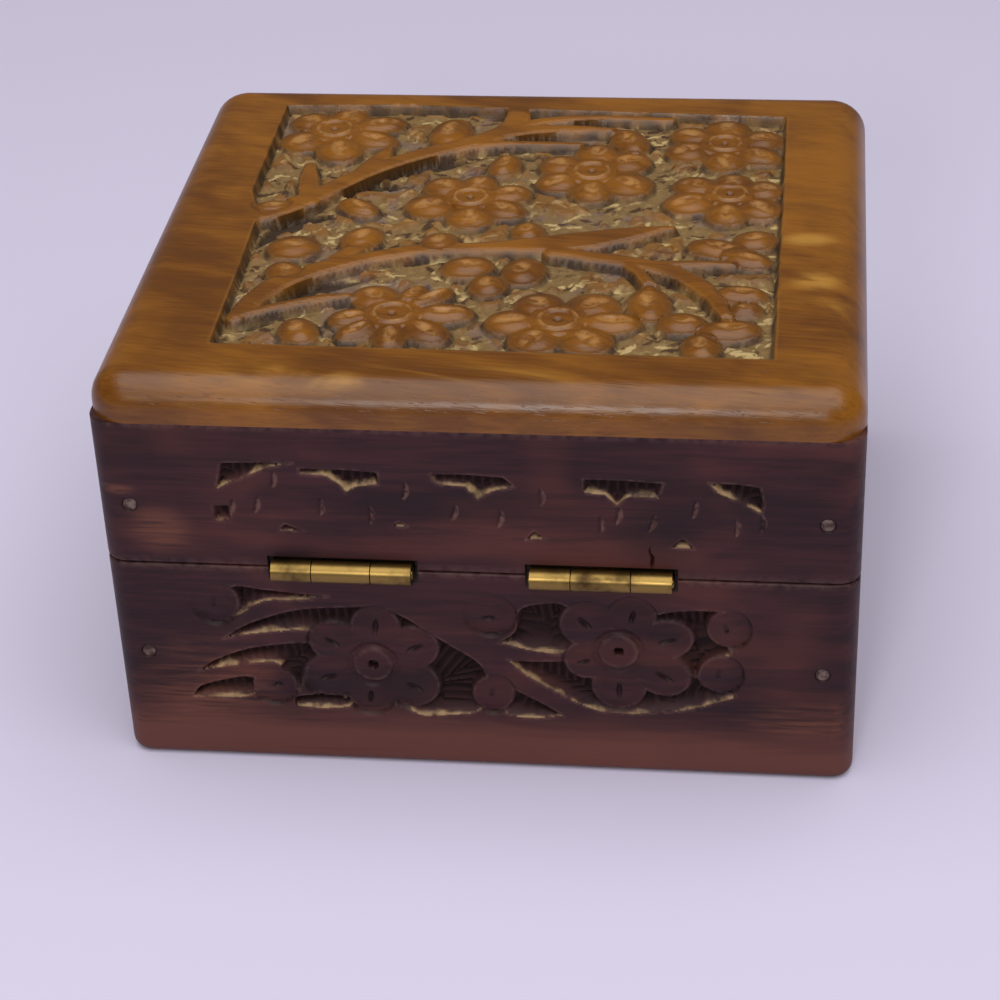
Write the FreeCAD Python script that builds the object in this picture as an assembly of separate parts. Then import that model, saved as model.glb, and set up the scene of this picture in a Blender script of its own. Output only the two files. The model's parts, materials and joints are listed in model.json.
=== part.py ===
import FreeCAD, Part
import math
import os

# Carved hardwood keepsake box with a hinged lid. Millimetres, +Z up, origin in the middle of the underside.
# The front faces -Y and the hinges are on the rear wall at +Y. Left and right are as seen from the front.

# Box
BOX_WIDTH = 100.0
BOX_DEPTH = 92.0
BASE_HEIGHT = 32.2
LID_WALL_HEIGHT = 21.6
TOP_BOARD_THICKNESS = 6.0
WALL_THICKNESS = 9.0
LID_GAP = 0.2  # between the closed lid and the base
CORNER_RADIUS = 3.0  # upright outer corners of the walls
FOOT_RADIUS = 1.5  # outer edge round the underside
RIM_RADIUS = 0.4  # outer edges where lid and base meet
TOP_CORNER_RADIUS = 5.2  # corners of the top board, seen from above
TOP_EDGE_RADIUS = 4.6  # rounded upper edge of the top board
EDGE_LIMIT_SHARE = 0.9  # the most that edge may take of the board's thickness or corner radius

# Bottom board, let into a rebate round the underside
BOTTOM_THICKNESS = 4.0
REBATE_WIDTH = 4.0
BOTTOM_CLEARANCE = 0.15

# Nails through the rear and front walls into the ends of the side walls
NAIL_RADIUS = 0.55
NAIL_HEAD_RADIUS = 0.9
NAIL_HEAD_HEIGHT = 0.5
NAIL_SINK = 0.2
NAIL_BITE = 11.0  # length in the side wall
NAIL_POINT = 1.6
BASE_NAIL_HEIGHT_SHARE = 0.55
LID_NAIL_HEIGHT_SHARE = 0.42

# Brads through the bottom board into the walls
BRAD_RADIUS = 0.5
BRAD_HEAD_RADIUS = 0.85
BRAD_HEAD_HEIGHT = 0.4
BRAD_SINK = 0.2
BRAD_BITE = 6.0
BRAD_POINT = 1.2
BRAD_SPREAD_SHARE = 0.27  # distance of each brad from the middle, as a share of the box
NAIL_CLEARANCE = 0.03  # round every nail and brad

# Hinges
LEFT_HINGE_PLACE = -16.4  # middle of the hinge from the middle of the box
RIGHT_HINGE_PLACE = 17.8
HINGE_LENGTH = 18.6
END_KNUCKLE_LENGTH = 5.3
KNUCKLE_GAP = 0.15
BARREL_RADIUS = 1.5
BARREL_OFFSET = 0.7  # from the rear face out to the hinge axis
PIN_RADIUS = 0.7
PIN_CLEARANCE = 0.05
PIN_END = 0.25  # each end of the pin stands this proud
LEAF_THICKNESS = 0.9
LEAF_SHOULDER = 2.0  # wood left between the leaf and the inside of the box
MORTISE_CLEARANCE = 0.15
GROOVE_CLEARANCE = 0.4  # round the barrel
GROOVE_END = 0.7  # past each end of the barrel

# Hinge screws
SCREW_RADIUS = 0.8
SCREW_HEAD_RADIUS = 1.45
SCREW_HEAD_HEIGHT = 0.6
SCREW_LENGTH = 7.0
SCREW_POINT = 1.8
SCREW_SPACING = 10.6
SCREW_SINK = 0.05
SCREW_SLOT = 0.35  # width and depth of the slot in the head
SCREW_CLEARANCE = 0.05

# Carved fields: plain wood left round each of them, and the depth of the cut
BASE_FIELD_LEFT = 9.0
BASE_FIELD_RIGHT = 13.0
BASE_FIELD_BELOW = 8.0
BASE_FIELD_ABOVE = 2.2
LID_FIELD_LEFT = 15.0
LID_FIELD_RIGHT = 11.0
LID_FIELD_BELOW = 3.6
LID_FIELD_ABOVE = 4.0
SIDE_FIELD_END = 6.0  # each end of a side wall's field
TOP_FIELD_SIDE = 12.0
TOP_FIELD_REAR = 10.0
TOP_FIELD_FRONT = 8.0
BASE_CARVING_DEPTH = 1.8
LID_CARVING_DEPTH = 1.3
TOP_CARVING_DEPTH = 1.6
RING_WIDTH = 0.6  # groove round the eye of a flower
RING_DEPTH = 0.4

OVERRUN = 1.0  # how far a cut runs past the face that it opens
TOUCH = 1e-6  # two numbers this close are the same place

# Carving. Places are shares of a field's length and height, seen from outside with the field upright; the
# top board's field is seen from the hinge side. Sizes are shares of the field's height.
# A flower is the place of its eye and its petals, each a direction in degrees and a reach to the petal's tip.
RING_SHARE = 0.27  # radius of a flower's eye, of the reach of its petals
VALLEY_SHARE = 1.1  # where two petals meet, of the distance at which two round petals would just touch
TOP_FLOWER_SHARES = [
    (0.334, 0.145, [(6, 0.146), (46, 0.138), (70, 0.118), (123, 0.122), (191, 0.116), (227, 0.124),
                    (275, 0.122), (320, 0.138)]),
    (0.625, 0.135, [(0, 0.150), (45, 0.130), (124, 0.114), (184, 0.130), (241, 0.122), (311, 0.135)]),
    (0.418, 0.608, [(19, 0.119), (82, 0.103), (137, 0.118), (203, 0.128), (276, 0.122), (328, 0.127)]),
    (0.638, 0.730, [(36, 0.130), (86, 0.130), (153, 0.114), (215, 0.120), (274, 0.128), (326, 0.138)]),
    (0.886, 0.862, [(21, 0.120), (88, 0.117), (149, 0.122), (202, 0.122), (272, 0.116), (326, 0.128)]),
    (0.904, 0.642, [(21, 0.107), (86, 0.093), (152, 0.122), (204, 0.134), (268, 0.123), (317, 0.124)]),
    (0.112, 0.905, [(17, 0.149), (72, 0.107), (143, 0.107), (224, 0.122), (285, 0.146), (335, 0.147)]),
]
BASE_FLOWER_SHARES = [
    (0.337, 0.395, [(27, 0.441), (84, 0.427), (147, 0.436), (201, 0.455), (263, 0.373), (327, 0.445)]),
    (0.763, 0.559, [(17, 0.464), (72, 0.409), (135, 0.427), (202, 0.345), (270, 0.436), (327, 0.491)]),
]
# A bud is its middle, its length and width, and the direction that it points in degrees.
TOP_BUD_SHARES = [
    (0.779, 0.205, 0.127, 0.076, 95), (0.116, 0.397, 0.100, 0.092, 20), (0.116, 0.300, 0.081, 0.068, -50),
    (0.237, 0.436, 0.100, 0.078, 75), (0.178, 0.081, 0.095, 0.070, 110), (0.047, 0.554, 0.081, 0.065, 20),
    (0.345, 0.900, 0.135, 0.084, 85), (0.701, 0.873, 0.119, 0.073, 112), (0.468, 0.757, 0.095, 0.062, 80),
    (0.211, 0.565, 0.095, 0.059, -40), (0.382, 0.424, 0.086, 0.073, 90), (0.539, 0.478, 0.076, 0.062, 100),
    (0.889, 0.422, 0.116, 0.073, -20), (0.955, 0.457, 0.086, 0.078, 40), (0.942, 0.381, 0.100, 0.070, -25),
    (0.839, 0.138, 0.086, 0.076, 0), (0.921, 0.116, 0.114, 0.076, 8), (0.876, 0.057, 0.089, 0.068, 100),
    (0.445, 0.332, 0.097, 0.081, 10), (0.547, 0.319, 0.103, 0.081, 85), (0.489, 0.262, 0.081, 0.070, 100),
    (0.937, 0.249, 0.095, 0.065, -5), (0.947, 0.192, 0.062, 0.054, 20),
]
BASE_BUD_SHARES = [
    (0.071, 0.818, 0.290, 0.275, 80), (0.160, 0.205, 0.265, 0.255, 0), (0.545, 0.795, 0.300, 0.280, 0),
    (0.545, 0.205, 0.275, 0.250, 80), (0.949, 0.750, 0.275, 0.250, 100), (0.936, 0.410, 0.275, 0.260, 80),
]
# A stem is the points along its middle, each with half the stem's width there.
TOP_STEM_SHARES = [
    [(-0.013, 0.500, 0.035), (0.066, 0.541, 0.030), (0.132, 0.611, 0.024), (0.204, 0.703, 0.023),
     (0.276, 0.770, 0.023), (0.355, 0.824, 0.024), (0.428, 0.872, 0.027), (0.464, 0.932, 0.023),
     (0.474, 1.027, 0.026)],
    [(0.428, 0.876, 0.022), (0.500, 0.905, 0.019), (0.579, 0.916, 0.016), (0.671, 0.914, 0.008)],
    [(0.414, 0.838, 0.015), (0.500, 0.847, 0.009), (0.605, 0.845, 0.008)],
    [(0.467, 0.919, 0.018), (0.539, 0.954, 0.016), (0.632, 0.970, 0.012), (0.776, 0.965, 0.008)],
    [(0.184, 0.682, 0.014), (0.217, 0.757, 0.018), (0.234, 0.811, 0.009)],
    [(0.061, 0.116, 0.016), (0.088, 0.196, 0.023), (0.132, 0.264, 0.027), (0.197, 0.314, 0.023),
     (0.276, 0.357, 0.019), (0.368, 0.389, 0.020), (0.474, 0.400, 0.018), (0.566, 0.414, 0.031),
     (0.645, 0.432, 0.035), (0.724, 0.462, 0.026), (0.803, 0.492, 0.007)],
    [(0.592, 0.386, 0.016), (0.684, 0.365, 0.019), (0.776, 0.338, 0.020), (0.842, 0.295, 0.020),
     (0.889, 0.230, 0.018), (0.916, 0.155, 0.011)],
    [(0.724, 0.354, 0.012), (0.755, 0.311, 0.011), (0.776, 0.268, 0.012)],
    [(0.776, 0.343, 0.015), (0.855, 0.351, 0.011), (0.921, 0.354, 0.008)],
    [(0.092, 0.730, 0.012), (0.101, 0.655, 0.019), (0.116, 0.574, 0.020)],
    [(0.066, 0.122, 0.014), (0.132, 0.159, 0.012), (0.197, 0.189, 0.012), (0.257, 0.205, 0.008)],
    [(0.204, 0.338, 0.018), (0.229, 0.381, 0.018), (0.239, 0.426, 0.022)],
]
# The sunk ground of the top board has straight hand-cut edges. The pockets in the base walls are curved,
# each with one sharp tip at its first point, and those in the lid walls are straight-edged.
TOP_GROUND_SHARES = [
    [(0.036, 0.012), (1.0, 0.0), (1.003, 0.540), (1.003, 0.976), (0.630, 0.992), (0.240, 1.010),
     (0.0, 1.0), (0.0, 0.610), (0.030, 0.510), (0.034, 0.270)],
]
BASE_POCKET_SHARES = [
    [(0.269, 0.900), (0.218, 0.864), (0.154, 0.845), (0.118, 0.755), (0.087, 0.690), (0.085, 0.840),
     (0.106, 0.950), (0.154, 0.936), (0.208, 0.918)],
    [(0.077, 0.555), (0.115, 0.655), (0.167, 0.741), (0.224, 0.800), (0.308, 0.827), (0.352, 0.832),
     (0.397, 0.764), (0.440, 0.650), (0.482, 0.545), (0.517, 0.455), (0.532, 0.364), (0.538, 0.200),
     (0.519, 0.068), (0.468, 0.032), (0.410, 0.027), (0.360, 0.200), (0.300, 0.360), (0.235, 0.620),
     (0.141, 0.605)],
    [(0.026, 0.300), (0.058, 0.390), (0.115, 0.482), (0.167, 0.523), (0.224, 0.541), (0.250, 0.450),
     (0.220, 0.320), (0.200, 0.160), (0.175, 0.260), (0.165, 0.385), (0.083, 0.345)],
    [(0.010, 0.095), (0.026, 0.182), (0.064, 0.236), (0.115, 0.273), (0.140, 0.200), (0.113, 0.118),
     (0.064, 0.100)],
    [(0.192, 0.059), (0.199, 0.132), (0.250, 0.150), (0.300, 0.110), (0.288, 0.064), (0.240, 0.045)],
    [(0.667, 0.060), (0.636, 0.038), (0.600, 0.030), (0.565, 0.060), (0.556, 0.150), (0.578, 0.240),
     (0.608, 0.195), (0.638, 0.130)],
    [(0.558, 0.600), (0.587, 0.690), (0.597, 0.850), (0.636, 0.900), (0.673, 0.890), (0.705, 0.730),
     (0.730, 0.590), (0.679, 0.532), (0.622, 0.541)],
    [(0.571, 0.473), (0.615, 0.468), (0.660, 0.473), (0.720, 0.450), (0.800, 0.400), (0.860, 0.420),
     (0.930, 0.330), (0.962, 0.255), (0.910, 0.177), (0.872, 0.132), (0.820, 0.109), (0.782, 0.091),
     (0.737, 0.100), (0.705, 0.136), (0.667, 0.209), (0.635, 0.282), (0.600, 0.370)],
    [(0.941, 0.886), (0.938, 0.680), (0.953, 0.573), (0.923, 0.464), (0.904, 0.318), (0.872, 0.455),
     (0.833, 0.636), (0.818, 0.800), (0.836, 0.855), (0.885, 0.886)],
]
LID_POCKET_SHARES = [
    [(0.159, 0.907), (0.088, 0.900), (0.030, 0.886), (0.018, 0.586), (0.041, 0.664), (0.074, 0.743),
     (0.115, 0.850)],
    [(0.169, 0.850), (0.241, 0.850), (0.307, 0.829), (0.308, 0.700), (0.264, 0.657), (0.250, 0.593),
     (0.239, 0.679), (0.216, 0.771), (0.170, 0.786)],
    [(0.398, 0.829), (0.460, 0.836), (0.527, 0.814), (0.547, 0.714), (0.507, 0.657), (0.480, 0.564),
     (0.459, 0.700), (0.408, 0.714)],
    [(0.666, 0.821), (0.730, 0.821), (0.804, 0.800), (0.795, 0.643), (0.743, 0.636), (0.723, 0.543),
     (0.703, 0.650), (0.666, 0.671)],
    [(0.882, 0.814), (0.930, 0.814), (0.970, 0.786), (0.977, 0.607), (0.973, 0.500), (0.932, 0.629),
     (0.899, 0.700)],
    [(0.009, 0.236), (0.009, 0.414), (0.039, 0.421), (0.039, 0.250)],
    [(0.122, 0.143), (0.135, 0.229), (0.169, 0.157)],
    [(0.322, 0.236), (0.341, 0.293), (0.358, 0.236)],
    [(0.561, 0.136), (0.578, 0.236), (0.600, 0.143)],
    [(0.815, 0.086), (0.838, 0.207), (0.859, 0.093)],
]

# Levels and faces that follow from the sizes above
HALF_WIDTH = BOX_WIDTH / 2
HALF_DEPTH = BOX_DEPTH / 2
INNER_HALF_WIDTH = HALF_WIDTH - WALL_THICKNESS
INNER_HALF_DEPTH = HALF_DEPTH - WALL_THICKNESS
LID_BOTTOM = BASE_HEIGHT + LID_GAP
LID_WALL_TOP = LID_BOTTOM + LID_WALL_HEIGHT
BOX_HEIGHT = LID_WALL_TOP + TOP_BOARD_THICKNESS
AXIS_Y = HALF_DEPTH + BARREL_OFFSET
AXIS_Z = BASE_HEIGHT + LID_GAP / 2
LEAF_INNER_END = INNER_HALF_DEPTH + LEAF_SHOULDER
SCREW_Y = (LEAF_INNER_END + HALF_DEPTH) / 2
HINGE_PLACES = {"left": LEFT_HINGE_PLACE, "right": RIGHT_HINGE_PLACE}

X_AXIS = FreeCAD.Vector(1, 0, 0)
Y_AXIS = FreeCAD.Vector(0, 1, 0)
Z_AXIS = FreeCAD.Vector(0, 0, 1)


def block(low, high):
    """A box between two opposite corners."""
    size = [b - a for a, b in zip(low, high)]
    return Part.makeBox(*size, FreeCAD.Vector(*low))


def rounded(shape, radius, chosen):
    """The shape with the chosen edges rounded."""
    return shape.makeFillet(radius, [edge for edge in shape.Edges if chosen(edge)])


def lies_at(edge, axis, place):
    """True for an edge that lies in the plane at this place along an axis."""
    points = [vertex.Point for vertex in edge.Vertexes] + [edge.CenterOfMass]
    return all(abs(point.dot(axis) - place) < TOUCH for point in points)


class Field:
    """A carved area on a flat face, measured from its lower left corner as seen from outside."""

    def __init__(self, corner, right, up, length, height, mirrored=False):
        self.corner = corner
        self.right = right
        self.up = up
        self.out = right.cross(up)
        self.length = length
        self.height = height
        self.mirrored = mirrored

    def place(self, across, upward):
        """Distances from the corner for a place given in shares."""
        if self.mirrored:
            across = 1 - across
        return across * self.length, upward * self.height

    def turned(self, degrees):
        """A direction on the field, as a pair of numbers."""
        side = -1 if self.mirrored else 1
        return side * math.cos(math.radians(degrees)), math.sin(math.radians(degrees))

    def point(self, across, upward):
        """The point that lies these distances from the corner, just clear of the face."""
        return self.corner + self.right * across + self.up * upward + self.out * OVERRUN

    def prism(self, edges, depth):
        """The solid under a closed outline, down to a depth below the face."""
        outline = Part.Wire(Part.__sortEdges__(edges))
        return Part.Face(outline).extrude(self.out * -(depth + OVERRUN))

    def curve(self, points):
        """A smooth curve through points on the face."""
        spline = Part.BSplineCurve()
        spline.interpolate(points)
        return spline.toShape()

    def straight_pocket(self, shares, depth):
        """A pocket with straight edges."""
        points = [self.point(*self.place(*share)) for share in shares]
        return self.prism(Part.makePolygon(points + points[:1]).Edges, depth)

    def curved_pocket(self, shares, depth):
        """A pocket with a smooth edge and one sharp tip, at its first point."""
        points = [self.point(*self.place(*share)) for share in shares]
        return self.prism([self.curve(points + points[:1])], depth)

    def flower(self, across, upward, petals, depth):
        """A flower left standing: one arc for the end of each petal."""
        middle = self.place(across, upward)

        def polar(degrees, reach):
            ahead, above = self.turned(degrees)
            return self.point(middle[0] + ahead * reach * self.height, middle[1] + above * reach * self.height)

        valleys = []
        for (angle, reach), (next_angle, next_reach) in zip(petals, petals[1:] + petals[:1]):
            half_turn = (next_angle - angle) % 360 / 2
            touching = self.turned(half_turn)
            meeting = VALLEY_SHARE * abs(touching[0]) / (1 + touching[1])
            valleys.append(polar(angle + half_turn, meeting * (reach + next_reach) / 2))
        tips = [polar(*petal) for petal in petals]
        arcs = [Part.Arc(valleys[i - 1], tips[i], valleys[i]).toShape() for i in range(len(petals))]
        return self.prism(arcs, depth)

    def flower_ring(self, across, upward, petals):
        """The groove round the eye of a flower."""
        centre = self.point(*self.place(across, upward))
        reach = sum(reach for angle, reach in petals) / len(petals)
        radius = RING_SHARE * reach * self.height
        depth = RING_DEPTH + OVERRUN
        outer = Part.makeCylinder(radius + RING_WIDTH / 2, depth, centre, -self.out)
        inner = Part.makeCylinder(radius - RING_WIDTH / 2, depth, centre, -self.out)
        return outer.cut(inner)

    def bud(self, across, upward, length, width, degrees, depth):
        """A bud left standing: an oval that points in a direction."""
        middle = self.place(across, upward)
        ahead, above = self.turned(degrees)
        half_length = length * self.height / 2
        half_width = width * self.height / 2
        centre = self.point(*middle)
        tip = self.point(middle[0] + ahead * half_length, middle[1] + above * half_length)
        side = self.point(middle[0] - above * half_width, middle[1] + ahead * half_width)
        return self.prism([Part.Ellipse(tip, side, centre).toShape()], depth)

    def stem(self, shares, depth):
        """A stem left standing: a band that swells and tapers along its points."""
        middles = [self.place(across, upward) for across, upward, half in shares]
        halves = [half * self.height for across, upward, half in shares]
        sides = {1: [], -1: []}
        for i, (across, upward) in enumerate(middles):
            before = middles[max(i - 1, 0)]
            after = middles[min(i + 1, len(middles) - 1)]
            ahead = (after[0] - before[0], after[1] - before[1])
            run = math.hypot(*ahead)
            for hand, points in sides.items():
                reach = hand * halves[i] / run
                points.append(self.point(across - ahead[1] * reach, upward + ahead[0] * reach))
        ends = [Part.makeLine(sides[1][i], sides[-1][i]) for i in (0, -1)]
        return self.prism([self.curve(sides[1]), self.curve(sides[-1])] + ends, depth)


def less(shape, cuts):
    """The shape less those cuts that reach it."""
    reaching = [cut for cut in cuts if shape.BoundBox.intersect(cut.BoundBox)]
    return shape.cut(reaching) if reaching else shape


def largest(shape):
    """The largest solid of a cut shape."""
    return max(shape.Solids, key=lambda solid: solid.Volume)


def carved(board, field, pockets, standing, flowers):
    """The board with pockets cut in a field, round what is left standing, and the eyes of its flowers."""
    rings = [field.flower_ring(*flower) for flower in flowers]
    ground = [less(pocket, standing) for pocket in pockets]
    return largest(board.cut(ground + rings))


def base_carving(board, field):
    """A base wall with its flowers and buds standing in curved pockets."""
    depth = BASE_CARVING_DEPTH
    pockets = [field.curved_pocket(shares, depth) for shares in BASE_POCKET_SHARES]
    standing = [field.flower(*flower, depth + OVERRUN) for flower in BASE_FLOWER_SHARES]
    standing += [field.bud(*bud, depth + OVERRUN) for bud in BASE_BUD_SHARES]
    return carved(board, field, pockets, standing, BASE_FLOWER_SHARES)


def lid_carving(board, field):
    """A lid wall with its row of cut wedges."""
    pockets = [field.straight_pocket(shares, LID_CARVING_DEPTH) for shares in LID_POCKET_SHARES]
    return carved(board, field, pockets, [], [])


def top_carving(board, field):
    """The top board with flowers, buds and stems standing in one sunk ground."""
    depth = TOP_CARVING_DEPTH
    pockets = [field.straight_pocket(shares, depth) for shares in TOP_GROUND_SHARES]
    standing = [field.flower(*flower, depth + OVERRUN) for flower in TOP_FLOWER_SHARES]
    standing += [field.bud(*bud, depth + OVERRUN) for bud in TOP_BUD_SHARES]
    standing += [field.stem(stem, depth + OVERRUN) for stem in TOP_STEM_SHARES]
    return carved(board, field, pockets, standing, TOP_FLOWER_SHARES)


def long_wall(side, low, high, low_radius, high_radius):
    """A wall across the whole width: side is 1 at the rear and -1 at the front. A radius of 0 stays sharp."""
    inner = side * INNER_HALF_DEPTH
    outer = side * HALF_DEPTH
    wall = block((-HALF_WIDTH, min(inner, outer), low), (HALF_WIDTH, max(inner, outer), high))
    ends = (-HALF_WIDTH, HALF_WIDTH)
    wall = rounded(wall, CORNER_RADIUS, lambda edge: lies_at(edge, Y_AXIS, outer)
                   and any(lies_at(edge, X_AXIS, end) for end in ends))
    for level, radius in ((low, low_radius), (high, high_radius)):
        if radius:
            wall = rounded(wall, radius, lambda edge: lies_at(edge, Z_AXIS, level)
                           and not lies_at(edge, Y_AXIS, inner))
    return wall


def side_wall(side, low, high, low_radius, high_radius):
    """A wall between the rear and front walls: side is 1 on the right and -1 on the left."""
    inner = side * INNER_HALF_WIDTH
    outer = side * HALF_WIDTH
    wall = block((min(inner, outer), -INNER_HALF_DEPTH, low), (max(inner, outer), INNER_HALF_DEPTH, high))
    for level, radius in ((low, low_radius), (high, high_radius)):
        if radius:
            wall = rounded(wall, radius, lambda edge: lies_at(edge, Z_AXIS, level)
                           and lies_at(edge, X_AXIS, outer))
    return wall


def long_field(side, low, left, right, below, height):
    """The carved field of the rear or front wall."""
    across = X_AXIS * -side
    corner = FreeCAD.Vector(side * (HALF_WIDTH - left), side * HALF_DEPTH, low + below)
    return Field(corner, across, Z_AXIS, BOX_WIDTH - left - right, height)


def side_field(side, low, below, height):
    """The carved field of a side wall, turned round on the left one so that the two walls match."""
    across = Y_AXIS * side
    half_length = INNER_HALF_DEPTH - SIDE_FIELD_END
    corner = FreeCAD.Vector(side * HALF_WIDTH, -side * half_length, low + below)
    return Field(corner, across, Z_AXIS, 2 * half_length, height, mirrored=side < 0)


def base_walls():
    """The four walls of the base, carved, with the rebate for the bottom board."""
    height = BASE_HEIGHT - BASE_FIELD_BELOW - BASE_FIELD_ABOVE
    reach_x = INNER_HALF_WIDTH + REBATE_WIDTH
    reach_y = INNER_HALF_DEPTH + REBATE_WIDTH
    rebate = block((-reach_x, -reach_y, -OVERRUN), (reach_x, reach_y, BOTTOM_THICKNESS))
    walls = {}
    for name, side in (("rear", 1), ("front", -1)):
        field = long_field(side, 0, BASE_FIELD_LEFT, BASE_FIELD_RIGHT, BASE_FIELD_BELOW, height)
        wall = long_wall(side, 0, BASE_HEIGHT, FOOT_RADIUS, RIM_RADIUS)
        walls[name] = base_carving(wall.cut(rebate), field)
    for name, side in (("right", 1), ("left", -1)):
        field = side_field(side, 0, BASE_FIELD_BELOW, height)
        wall = side_wall(side, 0, BASE_HEIGHT, FOOT_RADIUS, RIM_RADIUS)
        walls[name] = base_carving(wall.cut(rebate), field)
    return walls


def lid_walls():
    """The four walls of the lid, carved."""
    height = LID_WALL_HEIGHT - LID_FIELD_BELOW - LID_FIELD_ABOVE
    walls = {}
    for name, side in (("rear", 1), ("front", -1)):
        field = long_field(side, LID_BOTTOM, LID_FIELD_LEFT, LID_FIELD_RIGHT, LID_FIELD_BELOW, height)
        walls[name] = lid_carving(long_wall(side, LID_BOTTOM, LID_WALL_TOP, RIM_RADIUS, 0), field)
    for name, side in (("right", 1), ("left", -1)):
        field = side_field(side, LID_BOTTOM, LID_FIELD_BELOW, height)
        walls[name] = lid_carving(side_wall(side, LID_BOTTOM, LID_WALL_TOP, RIM_RADIUS, 0), field)
    return walls


def top_board():
    """The top board, with rounded corners and upper edge, and its carving seen from the hinge side."""
    board = block((-HALF_WIDTH, -HALF_DEPTH, LID_WALL_TOP), (HALF_WIDTH, HALF_DEPTH, BOX_HEIGHT))
    edge_radius = min(TOP_EDGE_RADIUS, EDGE_LIMIT_SHARE * min(TOP_BOARD_THICKNESS, TOP_CORNER_RADIUS))
    board = rounded(board, TOP_CORNER_RADIUS, lambda edge: not lies_at(edge, Z_AXIS, LID_WALL_TOP)
                    and not lies_at(edge, Z_AXIS, BOX_HEIGHT))
    board = rounded(board, edge_radius, lambda edge: lies_at(edge, Z_AXIS, BOX_HEIGHT))
    corner = FreeCAD.Vector(HALF_WIDTH - TOP_FIELD_SIDE, HALF_DEPTH - TOP_FIELD_REAR, BOX_HEIGHT)
    field = Field(corner, -X_AXIS, -Y_AXIS, BOX_WIDTH - 2 * TOP_FIELD_SIDE,
                  BOX_DEPTH - TOP_FIELD_REAR - TOP_FIELD_FRONT)
    return top_carving(board, field)


def bottom_board():
    """The bottom board, a little smaller than its rebate."""
    reach_x = INNER_HALF_WIDTH + REBATE_WIDTH - BOTTOM_CLEARANCE
    reach_y = INNER_HALF_DEPTH + REBATE_WIDTH - BOTTOM_CLEARANCE
    return block((-reach_x, -reach_y, 0), (reach_x, reach_y, BOTTOM_THICKNESS))


def pointed_nail(head, way, length, radius, head_radius, head_height, point):
    """A nail from the outside of its head to its point."""
    cap = Part.makeCylinder(head_radius, head_height, head, way)
    shank = Part.makeCylinder(radius, length - point, head, way)
    tip = Part.makeCone(radius, 0, point, head + way * (length - point), way)
    return cap.fuse([shank, tip]).removeSplitter()


def nail_hole(head, way, length, radius, head_radius, head_height):
    """The hole that a nail leaves in the wood, open above its head."""
    mouth = head - way * OVERRUN
    cap = Part.makeCylinder(head_radius + NAIL_CLEARANCE, head_height + OVERRUN, mouth, way)
    shank = Part.makeCylinder(radius + NAIL_CLEARANCE, length + NAIL_CLEARANCE, head, way)
    return cap.fuse(shank)


def corner_nails(height):
    """Nails at this height in the four corners, and their holes."""
    length = WALL_THICKNESS - NAIL_SINK + NAIL_BITE
    nails = []
    holes = []
    for side in (1, -1):
        for hand in (1, -1):
            head = FreeCAD.Vector(hand * (HALF_WIDTH - WALL_THICKNESS / 2),
                                  side * (HALF_DEPTH - NAIL_SINK), height)
            way = Y_AXIS * -side
            nails.append(pointed_nail(head, way, length, NAIL_RADIUS, NAIL_HEAD_RADIUS, NAIL_HEAD_HEIGHT,
                                      NAIL_POINT))
            holes.append(nail_hole(head, way, length, NAIL_RADIUS, NAIL_HEAD_RADIUS, NAIL_HEAD_HEIGHT))
    return nails, holes


def bottom_brads():
    """Two brads up into each wall through the bottom board, and their holes."""
    length = BOTTOM_THICKNESS - BRAD_SINK + BRAD_BITE
    reach_x = INNER_HALF_WIDTH + REBATE_WIDTH / 2
    reach_y = INNER_HALF_DEPTH + REBATE_WIDTH / 2
    places = [(a * reach_x, b * BRAD_SPREAD_SHARE * BOX_DEPTH) for a in (1, -1) for b in (1, -1)]
    places += [(a * BRAD_SPREAD_SHARE * BOX_WIDTH, b * reach_y) for a in (1, -1) for b in (1, -1)]
    heads = [FreeCAD.Vector(x, y, BRAD_SINK) for x, y in places]
    brads = [pointed_nail(head, Z_AXIS, length, BRAD_RADIUS, BRAD_HEAD_RADIUS, BRAD_HEAD_HEIGHT, BRAD_POINT)
             for head in heads]
    holes = [nail_hole(head, Z_AXIS, length, BRAD_RADIUS, BRAD_HEAD_RADIUS, BRAD_HEAD_HEIGHT)
             for head in heads]
    return brads, holes


def along_hinge(radius, start, end):
    """A round bar on the hinge axis between two places along it."""
    return Part.makeCylinder(radius, end - start, FreeCAD.Vector(start, AXIS_Y, AXIS_Z), X_AXIS)


def screw(place, face, way):
    """A countersunk slotted screw: face is the leaf's outer face and way is 1 upwards and -1 downwards."""
    drive = Z_AXIS * way
    head = FreeCAD.Vector(place, SCREW_Y, face) + drive * SCREW_SINK
    straight = SCREW_LENGTH - SCREW_POINT
    cone = Part.makeCone(SCREW_HEAD_RADIUS, SCREW_RADIUS, SCREW_HEAD_HEIGHT, head, drive)
    shank = Part.makeCylinder(SCREW_RADIUS, straight, head, drive)
    tip = Part.makeCone(SCREW_RADIUS, 0, SCREW_POINT, head + drive * straight, drive)
    slot = block((place - SCREW_HEAD_RADIUS - OVERRUN, SCREW_Y - SCREW_SLOT / 2, head.z - SCREW_SLOT),
                 (place + SCREW_HEAD_RADIUS + OVERRUN, SCREW_Y + SCREW_SLOT / 2, head.z + SCREW_SLOT))
    return cone.fuse([shank, tip]).removeSplitter().cut(slot)


def screw_hole(place, face, way):
    """The hole for a screw in leaf and wood, countersunk."""
    drive = Z_AXIS * way
    face_point = FreeCAD.Vector(place, SCREW_Y, face)
    cone = Part.makeCone(SCREW_HEAD_RADIUS + SCREW_CLEARANCE, SCREW_RADIUS + SCREW_CLEARANCE,
                         SCREW_SINK + SCREW_HEAD_HEIGHT, face_point, drive)
    bore = Part.makeCylinder(SCREW_RADIUS + SCREW_CLEARANCE, SCREW_SINK + SCREW_LENGTH + SCREW_CLEARANCE,
                             face_point, drive)
    return cone.fuse(bore)


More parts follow.
